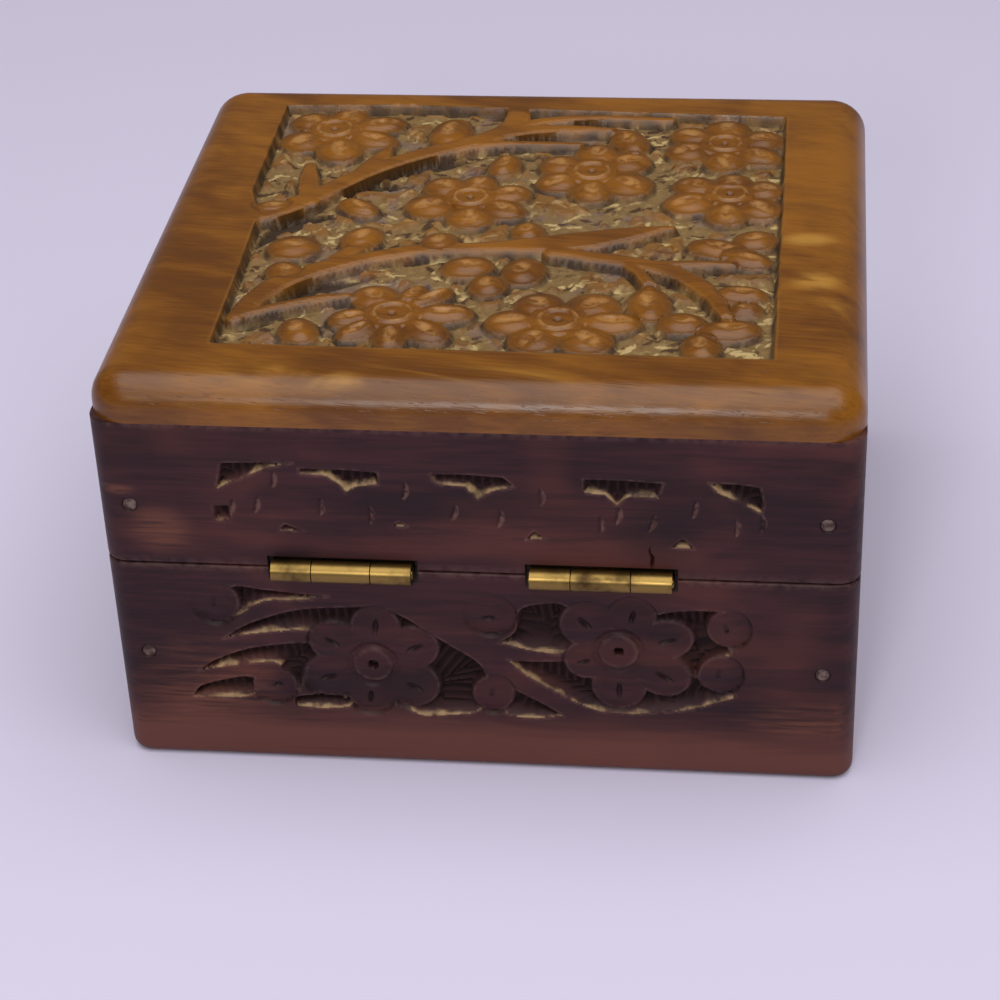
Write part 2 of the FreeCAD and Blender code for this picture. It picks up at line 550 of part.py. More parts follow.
def hinge_leaf(middle, way, knuckles, rooms):
    """A leaf with its knuckles: way is 1 for the lid and -1 for the base. The other leaf turns in the rooms."""
    start = middle - HINGE_LENGTH / 2
    end = middle + HINGE_LENGTH / 2
    inner_face = AXIS_Z + way * LID_GAP / 2
    outer_face = inner_face + way * LEAF_THICKNESS
    leaf = block((start, LEAF_INNER_END, min(inner_face, outer_face)),
                 (end, AXIS_Y, max(inner_face, outer_face)))
    swing = BARREL_RADIUS + GROOVE_CLEARANCE
    leaf = leaf.cut([along_hinge(swing, *room) for room in rooms])
    leaf = leaf.fuse([along_hinge(BARREL_RADIUS, *knuckle) for knuckle in knuckles]).removeSplitter()
    bore = along_hinge(PIN_RADIUS + PIN_CLEARANCE, start - OVERRUN, end + OVERRUN)
    holes = [screw_hole(place, inner_face, way) for place in screw_places(middle)]
    return largest(leaf.cut([bore] + holes))


def screw_places(middle):
    """Where the two screws of a leaf are along the hinge."""
    return middle - SCREW_SPACING / 2, middle + SCREW_SPACING / 2


def hinge_pieces(middle):
    """The leaves, screws and pin of one hinge, named without their side."""
    start = middle - HINGE_LENGTH / 2
    end = middle + HINGE_LENGTH / 2
    first = start + END_KNUCKLE_LENGTH
    last = end - END_KNUCKLE_LENGTH
    outer_knuckles = [(start, first), (last, end)]
    middle_knuckle = [(first + KNUCKLE_GAP, last - KNUCKLE_GAP)]
    lid_rooms = [(first, last)]
    base_rooms = [(start - OVERRUN, first + KNUCKLE_GAP), (last - KNUCKLE_GAP, end + OVERRUN)]
    pin = along_hinge(PIN_RADIUS, start - PIN_END, end + PIN_END)
    pin = rounded(pin, PIN_END, lambda edge: lies_at(edge, X_AXIS, start - PIN_END)
                  or lies_at(edge, X_AXIS, end + PIN_END))
    return {
        "base_leaf": hinge_leaf(middle, -1, middle_knuckle, base_rooms),
        "lid_leaf": hinge_leaf(middle, 1, outer_knuckles, lid_rooms),
        "base_screws": Part.makeCompound([screw(x, BASE_HEIGHT, -1) for x in screw_places(middle)]),
        "lid_screws": Part.makeCompound([screw(x, LID_BOTTOM, 1) for x in screw_places(middle)]),
        "pin": pin,
    }


def hinge_room(middle, way):
    """What is cut from a rear wall for a hinge: the leaf's mortise, the barrel's groove and the screw holes."""
    start = middle - HINGE_LENGTH / 2
    end = middle + HINGE_LENGTH / 2
    face = AXIS_Z + way * LID_GAP / 2
    floor = face + way * LEAF_THICKNESS
    open_side = face - way * OVERRUN
    mortise = block((start - MORTISE_CLEARANCE, LEAF_INNER_END - MORTISE_CLEARANCE, min(floor, open_side)),
                    (end + MORTISE_CLEARANCE, HALF_DEPTH + OVERRUN, max(floor, open_side)))
    groove = along_hinge(BARREL_RADIUS + GROOVE_CLEARANCE, start - GROOVE_END, end + GROOVE_END)
    holes = [screw_hole(place, face, way) for place in screw_places(middle)]
    return [mortise, groove] + holes


def build():
    """Every piece of the box by its name."""
    base = base_walls()
    lid = lid_walls()
    base_nails, base_nail_holes = corner_nails(BASE_NAIL_HEIGHT_SHARE * BASE_HEIGHT)
    lid_nails, lid_nail_holes = corner_nails(LID_BOTTOM + LID_NAIL_HEIGHT_SHARE * LID_WALL_HEIGHT)
    brads, brad_holes = bottom_brads()
    base_cuts = base_nail_holes + brad_holes
    lid_cuts = list(lid_nail_holes)
    pieces = {}
    for side, middle in HINGE_PLACES.items():
        base_cuts += hinge_room(middle, -1)
        lid_cuts += hinge_room(middle, 1)
        for name, shape in hinge_pieces(middle).items():
            pieces[f"{side}_hinge_{name}"] = shape
    for name, wall in base.items():
        pieces[f"base_{name}_wall"] = largest(less(wall, base_cuts))
    for name, wall in lid.items():
        pieces[f"lid_{name}_wall"] = largest(less(wall, lid_cuts))
    pieces["lid_top_board"] = top_board()
    pieces["bottom_board"] = largest(bottom_board().cut(brad_holes))
    pieces["base_corner_nails"] = Part.makeCompound(base_nails)
    pieces["lid_corner_nails"] = Part.makeCompound(lid_nails)
    pieces["bottom_board_brads"] = Part.makeCompound(brads)
    return pieces


os.makedirs("parts", exist_ok=True)
for node, shape in build().items():
    shape.exportStep(f"parts/{node}.step")
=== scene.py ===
import json
import math
from collections import namedtuple
import bmesh
import bpy
import numpy as np
from mathutils import Matrix, Vector, noise


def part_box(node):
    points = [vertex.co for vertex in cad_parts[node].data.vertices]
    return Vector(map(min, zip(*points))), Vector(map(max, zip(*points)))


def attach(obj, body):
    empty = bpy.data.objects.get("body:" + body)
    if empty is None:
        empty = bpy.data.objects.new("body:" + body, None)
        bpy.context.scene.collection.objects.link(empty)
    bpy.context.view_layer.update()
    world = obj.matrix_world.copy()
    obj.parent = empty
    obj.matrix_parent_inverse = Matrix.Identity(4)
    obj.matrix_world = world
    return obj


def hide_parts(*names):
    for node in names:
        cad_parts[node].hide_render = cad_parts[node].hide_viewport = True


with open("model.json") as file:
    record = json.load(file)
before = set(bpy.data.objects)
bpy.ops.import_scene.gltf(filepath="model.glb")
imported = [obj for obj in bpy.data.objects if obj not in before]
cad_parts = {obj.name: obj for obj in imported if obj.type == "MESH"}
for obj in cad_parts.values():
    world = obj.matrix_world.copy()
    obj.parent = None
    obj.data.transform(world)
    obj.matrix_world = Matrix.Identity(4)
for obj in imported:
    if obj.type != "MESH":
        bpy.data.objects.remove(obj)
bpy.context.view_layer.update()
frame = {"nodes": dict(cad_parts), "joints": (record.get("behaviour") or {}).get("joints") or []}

# A carved hardwood keepsake box, seen from its hinge side. The carved boards are modelled here, in place of
# the plainer boards of the frame. Lengths are millimetres until a mesh is placed, and metres in the model.
MM = 0.001

# Rounded edges of the boards
CORNER_RADIUS = 3.0  # upright outer corners of the walls
FOOT_RADIUS = 1.5
RIM_RADIUS = 0.4
TOP_CORNER_RADIUS = 5.2
TOP_EDGE_RADIUS = 4.6
ROUND_STEPS = 7

# Lines of the carved grids: how far apart they lie
TOP_STEP = 0.285
WALL_STEP = 0.22
NAIL_STEP = 0.22
NAIL_REACH = 1.3  # fine lines on each side of a nail
END_STEP = 0.5
COARSE_STEP = 1.0
FIELD_MARGIN = 0.4  # fine lines past the edge of a carved field

# Carved fields: plain wood left round each of them, and the depth of the cut
BASE_FIELD_LEFT = 9.0
BASE_FIELD_RIGHT = 13.0
BASE_FIELD_BELOW = 8.0
BASE_FIELD_ABOVE = 2.2
LID_FIELD_LEFT = 15.0
LID_FIELD_RIGHT = 11.0
LID_FIELD_BELOW = 3.6
LID_FIELD_ABOVE = 4.0
SIDE_FIELD_END = 6.0
TOP_FIELD_SIDE = 12.0
TOP_FIELD_REAR = 10.0
TOP_FIELD_FRONT = 8.0
BASE_CARVING_DEPTH = 1.8
LID_CARVING_DEPTH = 1.3
TOP_CARVING_DEPTH = 1.6

# Nail heads and the let-in hinges
NAIL_PIT_RADIUS = 0.93
NAIL_PIT_DEPTH = 0.75
NAIL_PIT_EDGE = 0.3
NAIL_STAIN_REACH = 0.5  # dark wood round a nail's head
REBATE_WIDTH = 4.0
LEAF_THICKNESS = 0.9
MORTISE_CLEARANCE = 0.15
GROOVE_RADIUS = 1.9
GROOVE_END = 0.7
GROOVE_SEGMENTS = 64
OVERRUN = 2.0  # how far a cut runs past the face that it opens

# Places of a board's finishes, after that of its outer faces
INSIDE = 1
HINGE_ROOM = 2
SHARP_ANGLE = 62  # degrees, from which an edge is shaded sharp

# Carving. Places are shares of a field's length and height, seen from outside with the field upright; the
# top board's field is seen from the hinge side. Sizes are shares of the field's height.
# A flower is the place of its eye and its petals, each a direction in degrees and a reach to the petal's tip.
TOP_FLOWER_SHARES = [
    (0.334, 0.145, [(6, 0.146), (46, 0.138), (70, 0.118), (123, 0.122), (191, 0.116), (227, 0.124),
                    (275, 0.122), (320, 0.138)]),
    (0.625, 0.135, [(0, 0.150), (45, 0.130), (124, 0.114), (184, 0.130), (241, 0.122), (311, 0.135)]),
    (0.418, 0.608, [(19, 0.119), (82, 0.103), (137, 0.118), (203, 0.128), (276, 0.122), (328, 0.127)]),
    (0.638, 0.730, [(36, 0.130), (86, 0.130), (153, 0.114), (215, 0.120), (274, 0.128), (326, 0.138)]),
    (0.886, 0.862, [(21, 0.120), (88, 0.117), (149, 0.122), (202, 0.122), (272, 0.116), (326, 0.128)]),
    (0.904, 0.642, [(21, 0.107), (86, 0.093), (152, 0.122), (204, 0.134), (268, 0.123), (317, 0.124)]),
    (0.112, 0.905, [(17, 0.149), (72, 0.107), (143, 0.107), (224, 0.122), (285, 0.146), (335, 0.147)]),
]
BASE_FLOWER_SHARES = [
    (0.337, 0.395, [(27, 0.441), (84, 0.427), (147, 0.436), (201, 0.455), (263, 0.373), (327, 0.445)]),
    (0.763, 0.559, [(17, 0.464), (72, 0.409), (135, 0.427), (202, 0.345), (270, 0.436), (327, 0.491)]),
]
# A bud is its middle, its length and width, and the direction that it points in degrees.
TOP_BUD_SHARES = [
    (0.779, 0.205, 0.127, 0.076, 95), (0.116, 0.397, 0.100, 0.092, 20), (0.116, 0.300, 0.081, 0.068, -50),
    (0.237, 0.436, 0.100, 0.078, 75), (0.178, 0.081, 0.095, 0.070, 110), (0.047, 0.554, 0.081, 0.065, 20),
    (0.345, 0.900, 0.135, 0.084, 85), (0.701, 0.873, 0.119, 0.073, 112), (0.468, 0.757, 0.095, 0.062, 80),
    (0.211, 0.565, 0.095, 0.059, -40), (0.382, 0.424, 0.086, 0.073, 90), (0.539, 0.478, 0.076, 0.062, 100),
    (0.889, 0.422, 0.116, 0.073, -20), (0.955, 0.457, 0.086, 0.078, 40), (0.942, 0.381, 0.100, 0.070, -25),
    (0.839, 0.138, 0.086, 0.076, 0), (0.921, 0.116, 0.114, 0.076, 8), (0.876, 0.057, 0.089, 0.068, 100),
    (0.445, 0.332, 0.097, 0.081, 10), (0.547, 0.319, 0.103, 0.081, 85), (0.489, 0.262, 0.081, 0.070, 100),
    (0.937, 0.249, 0.095, 0.065, -5), (0.947, 0.192, 0.062, 0.054, 20),
]
BASE_BUD_SHARES = [
    (0.071, 0.818, 0.290, 0.275, 80), (0.160, 0.205, 0.265, 0.255, 0), (0.545, 0.795, 0.300, 0.280, 180),
    (0.545, 0.205, 0.275, 0.250, 80), (0.949, 0.750, 0.275, 0.250, 100), (0.936, 0.410, 0.275, 0.260, 80),
]
# A stem is the points along its middle, each with half the stem's width there.
TOP_STEM_SHARES = [
    [(-0.013, 0.500, 0.035), (0.066, 0.541, 0.030), (0.132, 0.611, 0.024), (0.204, 0.703, 0.023),
     (0.276, 0.770, 0.023), (0.355, 0.824, 0.024), (0.428, 0.872, 0.027), (0.464, 0.932, 0.023),
     (0.474, 1.027, 0.026)],
    [(0.428, 0.876, 0.022), (0.500, 0.905, 0.019), (0.579, 0.916, 0.016), (0.671, 0.914, 0.008)],
    [(0.414, 0.838, 0.015), (0.500, 0.847, 0.009), (0.605, 0.845, 0.008)],
    [(0.467, 0.919, 0.018), (0.539, 0.954, 0.016), (0.632, 0.970, 0.012), (0.776, 0.965, 0.008)],
    [(0.184, 0.682, 0.014), (0.217, 0.757, 0.018), (0.234, 0.811, 0.009)],
    [(0.061, 0.116, 0.016), (0.088, 0.196, 0.023), (0.132, 0.264, 0.027), (0.197, 0.314, 0.023),
     (0.276, 0.357, 0.019), (0.368, 0.389, 0.020), (0.474, 0.400, 0.018), (0.566, 0.414, 0.031),
     (0.645, 0.432, 0.035), (0.724, 0.462, 0.026), (0.803, 0.492, 0.007)],
    [(0.592, 0.386, 0.016), (0.684, 0.365, 0.019), (0.776, 0.338, 0.020), (0.842, 0.295, 0.020),
     (0.889, 0.230, 0.018), (0.916, 0.155, 0.011)],
    [(0.724, 0.354, 0.012), (0.755, 0.311, 0.011), (0.776, 0.268, 0.012)],
    [(0.776, 0.343, 0.015), (0.855, 0.351, 0.011), (0.921, 0.354, 0.008)],
    [(0.092, 0.730, 0.012), (0.101, 0.655, 0.019), (0.116, 0.574, 0.020)],
    [(0.066, 0.122, 0.014), (0.132, 0.159, 0.012), (0.197, 0.189, 0.012), (0.257, 0.205, 0.008)],
    [(0.204, 0.338, 0.018), (0.229, 0.381, 0.018), (0.239, 0.426, 0.022)],
]
# Deep narrow cuts beside the stems of the top board, as points with half widths.
TOP_SLIT_SHARES = [
    [(0.190, 0.652, 0.002), (0.250, 0.716, 0.016), (0.330, 0.762, 0.020), (0.408, 0.789, 0.002)],
    [(0.100, 0.560, 0.002), (0.160, 0.630, 0.018), (0.230, 0.668, 0.020), (0.310, 0.675, 0.002)],
    [(0.040, 0.400, 0.002), (0.070, 0.470, 0.022), (0.120, 0.525, 0.022), (0.185, 0.545, 0.002)],
    [(0.105, 0.145, 0.002), (0.150, 0.215, 0.020), (0.205, 0.262, 0.020), (0.262, 0.285, 0.002)],
    [(0.060, 0.085, 0.002), (0.095, 0.105, 0.010), (0.135, 0.135, 0.002)],
    [(0.440, 0.812, 0.002), (0.520, 0.806, 0.012), (0.590, 0.800, 0.002)],
    [(0.460, 0.872, 0.002), (0.540, 0.882, 0.014), (0.640, 0.880, 0.002)],
    [(0.560, 0.948, 0.002), (0.620, 0.950, 0.010), (0.680, 0.945, 0.002)],
]
# The sunk ground of the top board has straight hand-cut edges. The pockets in the base walls are curved,
# each with one sharp tip at its first point, and those in the lid walls are straight-edged.
TOP_GROUND_SHARES = [
    (0.036, 0.012), (1.0, 0.0), (1.003, 0.540), (1.003, 0.976), (0.630, 0.992), (0.240, 1.010),
    (0.0, 1.0), (0.0, 0.610), (0.030, 0.510), (0.034, 0.270),
]
BASE_POCKET_SHARES = [
    [(0.269, 0.900), (0.218, 0.864), (0.154, 0.845), (0.118, 0.755), (0.087, 0.690), (0.085, 0.840),
     (0.106, 0.950), (0.154, 0.936), (0.208, 0.918)],
    [(0.077, 0.555), (0.115, 0.655), (0.167, 0.741), (0.224, 0.800), (0.308, 0.827), (0.352, 0.832),
     (0.397, 0.764), (0.440, 0.650), (0.482, 0.545), (0.517, 0.455), (0.532, 0.364), (0.538, 0.200),
     (0.519, 0.068), (0.468, 0.032), (0.410, 0.027), (0.360, 0.200), (0.300, 0.360), (0.235, 0.620),
     (0.141, 0.605)],
    [(0.026, 0.300), (0.058, 0.390), (0.115, 0.482), (0.167, 0.523), (0.224, 0.541), (0.250, 0.450),
     (0.220, 0.320), (0.200, 0.160), (0.175, 0.260), (0.165, 0.385), (0.083, 0.345)],
    [(0.010, 0.095), (0.026, 0.182), (0.064, 0.236), (0.115, 0.273), (0.140, 0.200), (0.113, 0.118),
     (0.064, 0.100)],
    [(0.192, 0.059), (0.199, 0.132), (0.250, 0.150), (0.300, 0.110), (0.288, 0.064), (0.240, 0.045)],
    [(0.667, 0.060), (0.636, 0.038), (0.600, 0.030), (0.565, 0.060), (0.556, 0.150), (0.578, 0.240),
     (0.608, 0.195), (0.638, 0.130)],
    [(0.558, 0.600), (0.587, 0.690), (0.597, 0.850), (0.636, 0.900), (0.673, 0.890), (0.705, 0.730),
     (0.730, 0.590), (0.679, 0.532), (0.622, 0.541)],
    [(0.571, 0.473), (0.615, 0.468), (0.660, 0.473), (0.720, 0.450), (0.800, 0.400), (0.860, 0.420),
     (0.930, 0.330), (0.962, 0.255), (0.910, 0.177), (0.872, 0.132), (0.820, 0.109), (0.782, 0.091),
     (0.737, 0.100), (0.705, 0.136), (0.667, 0.209), (0.635, 0.282), (0.600, 0.370)],
    [(0.941, 0.886), (0.938, 0.680), (0.953, 0.573), (0.923, 0.464), (0.904, 0.318), (0.872, 0.455),
     (0.833, 0.636), (0.818, 0.800), (0.836, 0.855), (0.885, 0.886)],
]
LID_POCKET_SHARES = [
    [(0.159, 0.907), (0.088, 0.900), (0.030, 0.886), (0.018, 0.586), (0.041, 0.664), (0.074, 0.743),
     (0.115, 0.850)],
    [(0.169, 0.850), (0.241, 0.850), (0.307, 0.829), (0.308, 0.700), (0.264, 0.657), (0.250, 0.593),
     (0.239, 0.679), (0.216, 0.771), (0.170, 0.786)],
    [(0.398, 0.829), (0.460, 0.836), (0.527, 0.814), (0.547, 0.714), (0.507, 0.657), (0.480, 0.564),
     (0.459, 0.700), (0.408, 0.714)],
    [(0.666, 0.821), (0.730, 0.821), (0.804, 0.800), (0.795, 0.643), (0.743, 0.636), (0.723, 0.543),
     (0.703, 0.650), (0.666, 0.671)],
    [(0.882, 0.814), (0.930, 0.814), (0.970, 0.786), (0.977, 0.607), (0.973, 0.500), (0.932, 0.629),
     (0.899, 0.700)],
    [(0.009, 0.236), (0.009, 0.414), (0.039, 0.421), (0.039, 0.250)],
    [(0.122, 0.143), (0.135, 0.229), (0.169, 0.157)],
    [(0.322, 0.236), (0.341, 0.293), (0.358, 0.236)],
    [(0.561, 0.136), (0.578, 0.236), (0.600, 0.143)],
    [(0.815, 0.086), (0.838, 0.207), (0.859, 0.093)],
]
# Thumbnail cuts of the lid walls: the middle of each.
LID_NICK_SHARES = [
    (0.122, 0.714), (0.043, 0.393), (0.088, 0.429), (0.203, 0.429), (0.291, 0.357), (0.354, 0.629),
    (0.439, 0.407), (0.520, 0.357), (0.593, 0.607), (0.696, 0.321), (0.727, 0.429), (0.786, 0.357),
    (0.859, 0.521), (0.932, 0.343), (0.976, 0.393),
]
NICK_LENGTH_SHARE = 0.22
NICK_WIDTH_SHARE = 0.085
NICK_DEPTH = 0.35
NICK_DIRECTION = 82  # degrees, and how far single cuts turn from it
NICK_TURN = 9
NICK_BEND = 0.12
NICK_HIGHLIGHT_EDGE = 0.2

# Relief of the motifs, in millimetres, and the shares of a petal's reach or a flower's eye that shape them.
# A style holds how far a motif's rim drops, its scoops, and the depths along its eye.
Style = namedtuple("Style", "drop, scoop_depth, scoop_length, scoop_width, eye_depths")
MOTIF_SINK = 0.1  # the highest part of a motif lies this far below the face
RIM_REACH = 0.05  # how far past its outline a motif still has its own surface
OVERLAP_DEPTH = 0.45  # how deep a motif may lie where it crosses another
PETAL_MIDDLE_SHARE = 0.62
PETAL_LENGTH_SHARE = 0.38
PETAL_WIDTH_SHARE = 0.40
SCOOP_MIDDLE_SHARE = 0.67
PETAL_DOME_SHARE = 0.75
BUD_DOME_SHARE = 0.8
BUD_SCOOP_SHIFT = 0.1
BUD_SCOOP_LENGTH = 2.2  # against the scoop of a petal
BUD_SCOOP_WIDTH = 1.1
HEART_SHARE = 0.5  # the part of a flower where its petals have grown together
HEART_DROP = 1.3  # against the drop of a petal's rim
EYE_SHARE = 0.28
RING_MIDDLE_SHARE = 0.93
RING_WIDTH_SHARE = 0.2
HOLE_SHARE = 0.26
HOLE_EDGE_SHARE = 0.05
EYE_RING_SHARES = (0.0, 0.20, HOLE_SHARE, 0.72, 0.86, 1.0, 1.07, 1.2, 1.4)
TOP_STYLE = Style(0.75, 0.4, 0.23, 0.36, (0.9, 0.8, 0.5, 0.45, 0.1, 0.1, 0.4, 0.5, 0.4))
BASE_STYLE = Style(0.45, 0.6, 0.15, 0.13, (1.4, 1.4, 0.12, 0.1, 0.08, 0.12, 0.55, 0.6, 0.3))
STEM_DROP = 0.3
STEM_ROUND = 0.9
WALL_RUN = 0.5  # how far an upright cut leans
FIELD_EDGE = 0.4  # width along the sunk ground's edge in which motifs rise to the face
SLIT_RUN = 0.35
SLIT_DEPTH = 0.7  # below the sunk ground
SLIT_SHADE_RUN = 0.2  # how the painted shade of a slit ends at the rim of a motif
SLIT_SHADE_START = 0.7
RIM_SHADE_WIDTH = 1.2  # painted shade along a motif's rim
EDGE_LINE_MIDDLE = 0.1  # pale line along the edge of a cut: partly rubbed wear, partly painted highlight
TOP_EDGE_LINE_REACH = 0.3
POCKET_EDGE_LINE_REACH = 0.25
FOOT_SHARE = 0.6  # middle of the painted shade on a cut's side, as a share of its lean
FOOT_REACH = 0.45
MOAT_MIDDLE = 0.15  # groove round a motif on the walls
MOAT_REACH = 0.35
MOAT_DEPTH = 0.6
LOWER_RUN = 1.5  # how much further the cut leans along a pocket's lower edge
BUD_SIDE = 135  # direction, in degrees, in which a bud on the walls runs out into the face
PALE_LINE_WIDTH = 0.55  # mean width of the pale line along a lower edge: bare wood of the last cut, partly a painted highlight
PALE_LINE_EDGE = 0.3
PALE_LINE_LEAN = 0.3  # the upward lean from which an edge counts as a lower one
RIB_PITCH = 1.25  # chisel marks on a pocket's floor
RIB_HEIGHT = 0.5
GOUGE_COUNT = 2600  # marks on the sunk ground of the top board
GOUGE_SEED = 11
GOUGE_LENGTHS = (0.9, 3.2)
GOUGE_WIDTHS = (0.35, 0.9)
GOUGE_DEPTH = 0.4
GOUGE_DEPTH_SHARES = (-0.6, 1)
GOUGE_DIRECTION = 25  # degrees
GOUGE_SPREAD = 35
FLOOR_SWELL = 0.2
FLOOR_SWELL_SIZE = 4.0
LUMP_SIZE = 3.2  # wood left standing between the gouge marks
LUMP_HEIGHT = 0.65
LUMP_LEVEL = 0.1  # the unevenness from which wood is left, and the rise from there to a whole lump
LUMP_RISE = 0.2
LUMP_CLEARANCE = 0.6  # from the foot of a cut
FOOT_SHADE_PATCH_SIZE = 2.5  # patches that make the painted shade on the cut sides uneven
CHIP_SIZE = 2.6  # broader and narrower places of a pale line
CURVE_STEPS = 7

# Wear, stain and figure, at places on a face seen from outside: soft ovals as middle and half sizes, and a
# crack as points along it with half widths. The top board's last oval is a painted highlight along its
# rounded rear edge.
TOP_FIGURE_AND_HIGHLIGHT_SPOTS = [
    (93.0, 31.0, 3.5, 3.0), (92.0, 43.0, 4.0, 2.0), (95.0, 22.0, 3.0, 5.0), (40.0, 4.0, 22.0, 2.5),
]
LID_WORN_SPOTS = [(8.0, 5.4, 4.5, 3.6), (3.0, 11.5, 2.5, 0.8)]
BASE_WORN_SPOTS = [(97.2, 10.5, 1.6, 3.5), (12.0, 12.0, 10.0, 8.0), (93.0, 10.0, 8.0, 3.0)]
LID_STAIN_SPOTS = [(73.5, 6.5, 5.5, 4.5)]
LID_CRACK = [(72.9, 1.6, 0.30), (73.1, 3.2, 0.24), (72.6, 4.4, 0.16), (73.2, 5.8, 0.03)]
CRACK_DEPTH = 0.8
CRACK_EDGE = 0.2
CORNER_RUB = 1.0  # width of the rubbed edge round a wall
SOFT_START = 1.3  # a soft spot is whole up to 0.3 of its size and ends at 1.3 of it

# Distances: one past every piece, the smallest to divide by, and how far round a shape they are measured
FAR = 99.0
TINY = 1e-9
OUTLINE_MARGIN = 3
BAND_MARGIN = 5
SNAP_TRIAL = 0.01  # step to either side that shows which way a cut lies
SNAP_LEAN = 1.5  # a place with a steeper change of distance than this stays where it is


def ease(share):
    """A smooth step from 0 to 1."""
    share = np.clip(share, 0, 1)
    return share * share * (3 - 2 * share)


def soft_line(off, reach, start=1.0):
    """A soft mask of a line, for distances off its middle."""
    return ease(start - np.abs(off) / reach)


def uneven(p, q, size, seed):
    """Gentle unevenness between -1 and 1, with swells of about this size."""
    return np.array([noise.noise((a / size, b / size, seed)) for a, b in zip(p, q)])


def smooth_line(points):
    """Points along a smooth curve through the given ones."""
    points = np.array(points, float)
    before = 2 * points[0] - points[1]
    after = 2 * points[-1] - points[-2]
    knots = np.vstack([before, points, after])
    made = []
    for a, b, c, d in zip(knots, knots[1:], knots[2:], knots[3:]):
        for t in np.arange(CURVE_STEPS) / CURVE_STEPS:
            made.append(0.5 * (2 * b + (c - a) * t + (2 * a - 5 * b + 4 * c - d) * t ** 2
                               + (3 * b - a - 3 * c + d) * t ** 3))
    return np.array(made + [points[-1]])


def near(p, q, points, margin):
    """Which places lie in the box round some points."""
    points = np.array(points)
    low = points[:, :2].min(0) - margin
    high = points[:, :2].max(0) + margin
    return (p > low[0]) & (p < high[0]) & (q > low[1]) & (q < high[1])


def oval_distance(ahead, aside, half_length, half_width):
    """Distance to an oval's edge, negative inside, for places measured along and across it."""
    share = np.hypot(ahead / half_length, aside / half_width)
    slope = np.hypot(ahead / half_length ** 2, aside / half_width ** 2)
    return np.where(share > 0, share * (share - 1) / np.maximum(slope, TINY), -min(half_length, half_width))


def along_and_across(p, q, middle, degrees):
    """Places measured along and across a direction, from a middle."""
    cos, sin = math.cos(math.radians(degrees)), math.sin(math.radians(degrees))
    dx, dy = p - middle[0], q - middle[1]
    return dx * cos + dy * sin, dy * cos - dx * sin


def outline_distance(p, q, outline):
    """Distance to a closed outline, negative inside, the upward lean of its nearest edge, and the way along
    it to the nearest edge above."""
    distance = np.full(p.shape, FAR)
    lean = np.zeros(p.shape)
    along = np.zeros(p.shape)
    chosen = np.flatnonzero(near(p, q, outline, OUTLINE_MARGIN))
    a, b = p[chosen], q[chosen]
    gap = np.full(a.shape, FAR)
    gap_above = np.full(a.shape, FAR)
    inside = np.zeros(a.shape, bool)
    passed = 0.0
    for (x0, y0), (x1, y1) in zip(outline, np.roll(outline, -1, axis=0)):
        dx, dy = x1 - x0, y1 - y0
        run = math.hypot(dx, dy)
        if run == 0:
            continue
        share = np.clip(((a - x0) * dx + (b - y0) * dy) / run ** 2, 0, 1)
        off_x, off_y = a - x0 - share * dx, b - y0 - share * dy
        off = np.hypot(off_x, off_y)
        closer = off < gap
        gap[closer] = off[closer]
        lean[chosen[closer]] = (off_y / np.maximum(off, TINY))[closer]
        closer = (off < gap_above) & (off_y < 0)
        gap_above[closer] = off[closer]
        along[chosen[closer]] = (passed + share * run)[closer]
        if dy:
            inside ^= ((y0 > b) != (y1 > b)) & (a < x0 + (b - y0) * dx / dy)
        passed += run
    distance[chosen] = np.where(inside, -gap, gap)
    return distance, lean, along


def band_distance(p, q, line):
    """Distance to the edge of a band, negative inside, for points along its middle with half widths."""
    distance = np.full(p.shape, FAR)
    chosen = near(p, q, line, BAND_MARGIN)
    a, b = p[chosen], q[chosen]
    gap = np.full(a.shape, FAR)
    for (x0, y0, half0), (x1, y1, half1) in zip(line, line[1:]):
        dx, dy = x1 - x0, y1 - y0
        share = np.clip(((a - x0) * dx + (b - y0) * dy) / (dx * dx + dy * dy), 0, 1)
        off = np.hypot(a - x0 - share * dx, b - y0 - share * dy)
        gap = np.minimum(gap, off - half0 - share * (half1 - half0))
    distance[chosen] = gap
    return distance


class Field:
    """A carved area of a face: its lower left corner, its length and its height."""

    def __init__(self, left, below, length, height, mirrored=False):
        self.left = left
        self.below = below
        self.length = length
        self.height = height
        self.mirrored = mirrored

    def places(self, across, upward):
        """Places on the face as distances from the field's corner."""
        p = across - self.left
        return (self.length - p if self.mirrored else p), upward - self.below

    def points(self, shares):
        """Points in millimetres; a third share is a half width."""
        scale = (self.length, self.height, self.height)
        return np.array([[s * k for s, k in zip(share, scale)] for share in shares])


class Relief:
    """The carving of some places: their depth, their finish, and their distance to the edge of a cut."""

    def __init__(self, count):
        self.depth = np.zeros(count)
        self.cut = np.full(count, FAR)
        self.sunk = np.zeros(count)  # floor of a cut
        self.fresh = np.zeros(count)  # pale wood that the gouge laid bare, with painted highlight on scoops and lower edges
        self.dark = np.zeros(count)  # painted shade in cuts, grooves, hollows and the crack, and real stain patches
        self.rub = np.zeros(count)  # pale edges: rubbed wear, and painted highlight along cut rims
        self.tone = np.full(count, 0.5)  # lighter and darker gouge marks

    def masks(self):
        """The finish by the names that the materials read."""
        return {name: getattr(self, name) for name in ("sunk", "fresh", "dark", "rub", "tone")}

    def add(self, **layers):
        """Raises layers to the given values where those are higher."""
        for name, values in layers.items():
            setattr(self, name, np.maximum(getattr(self, name), values))


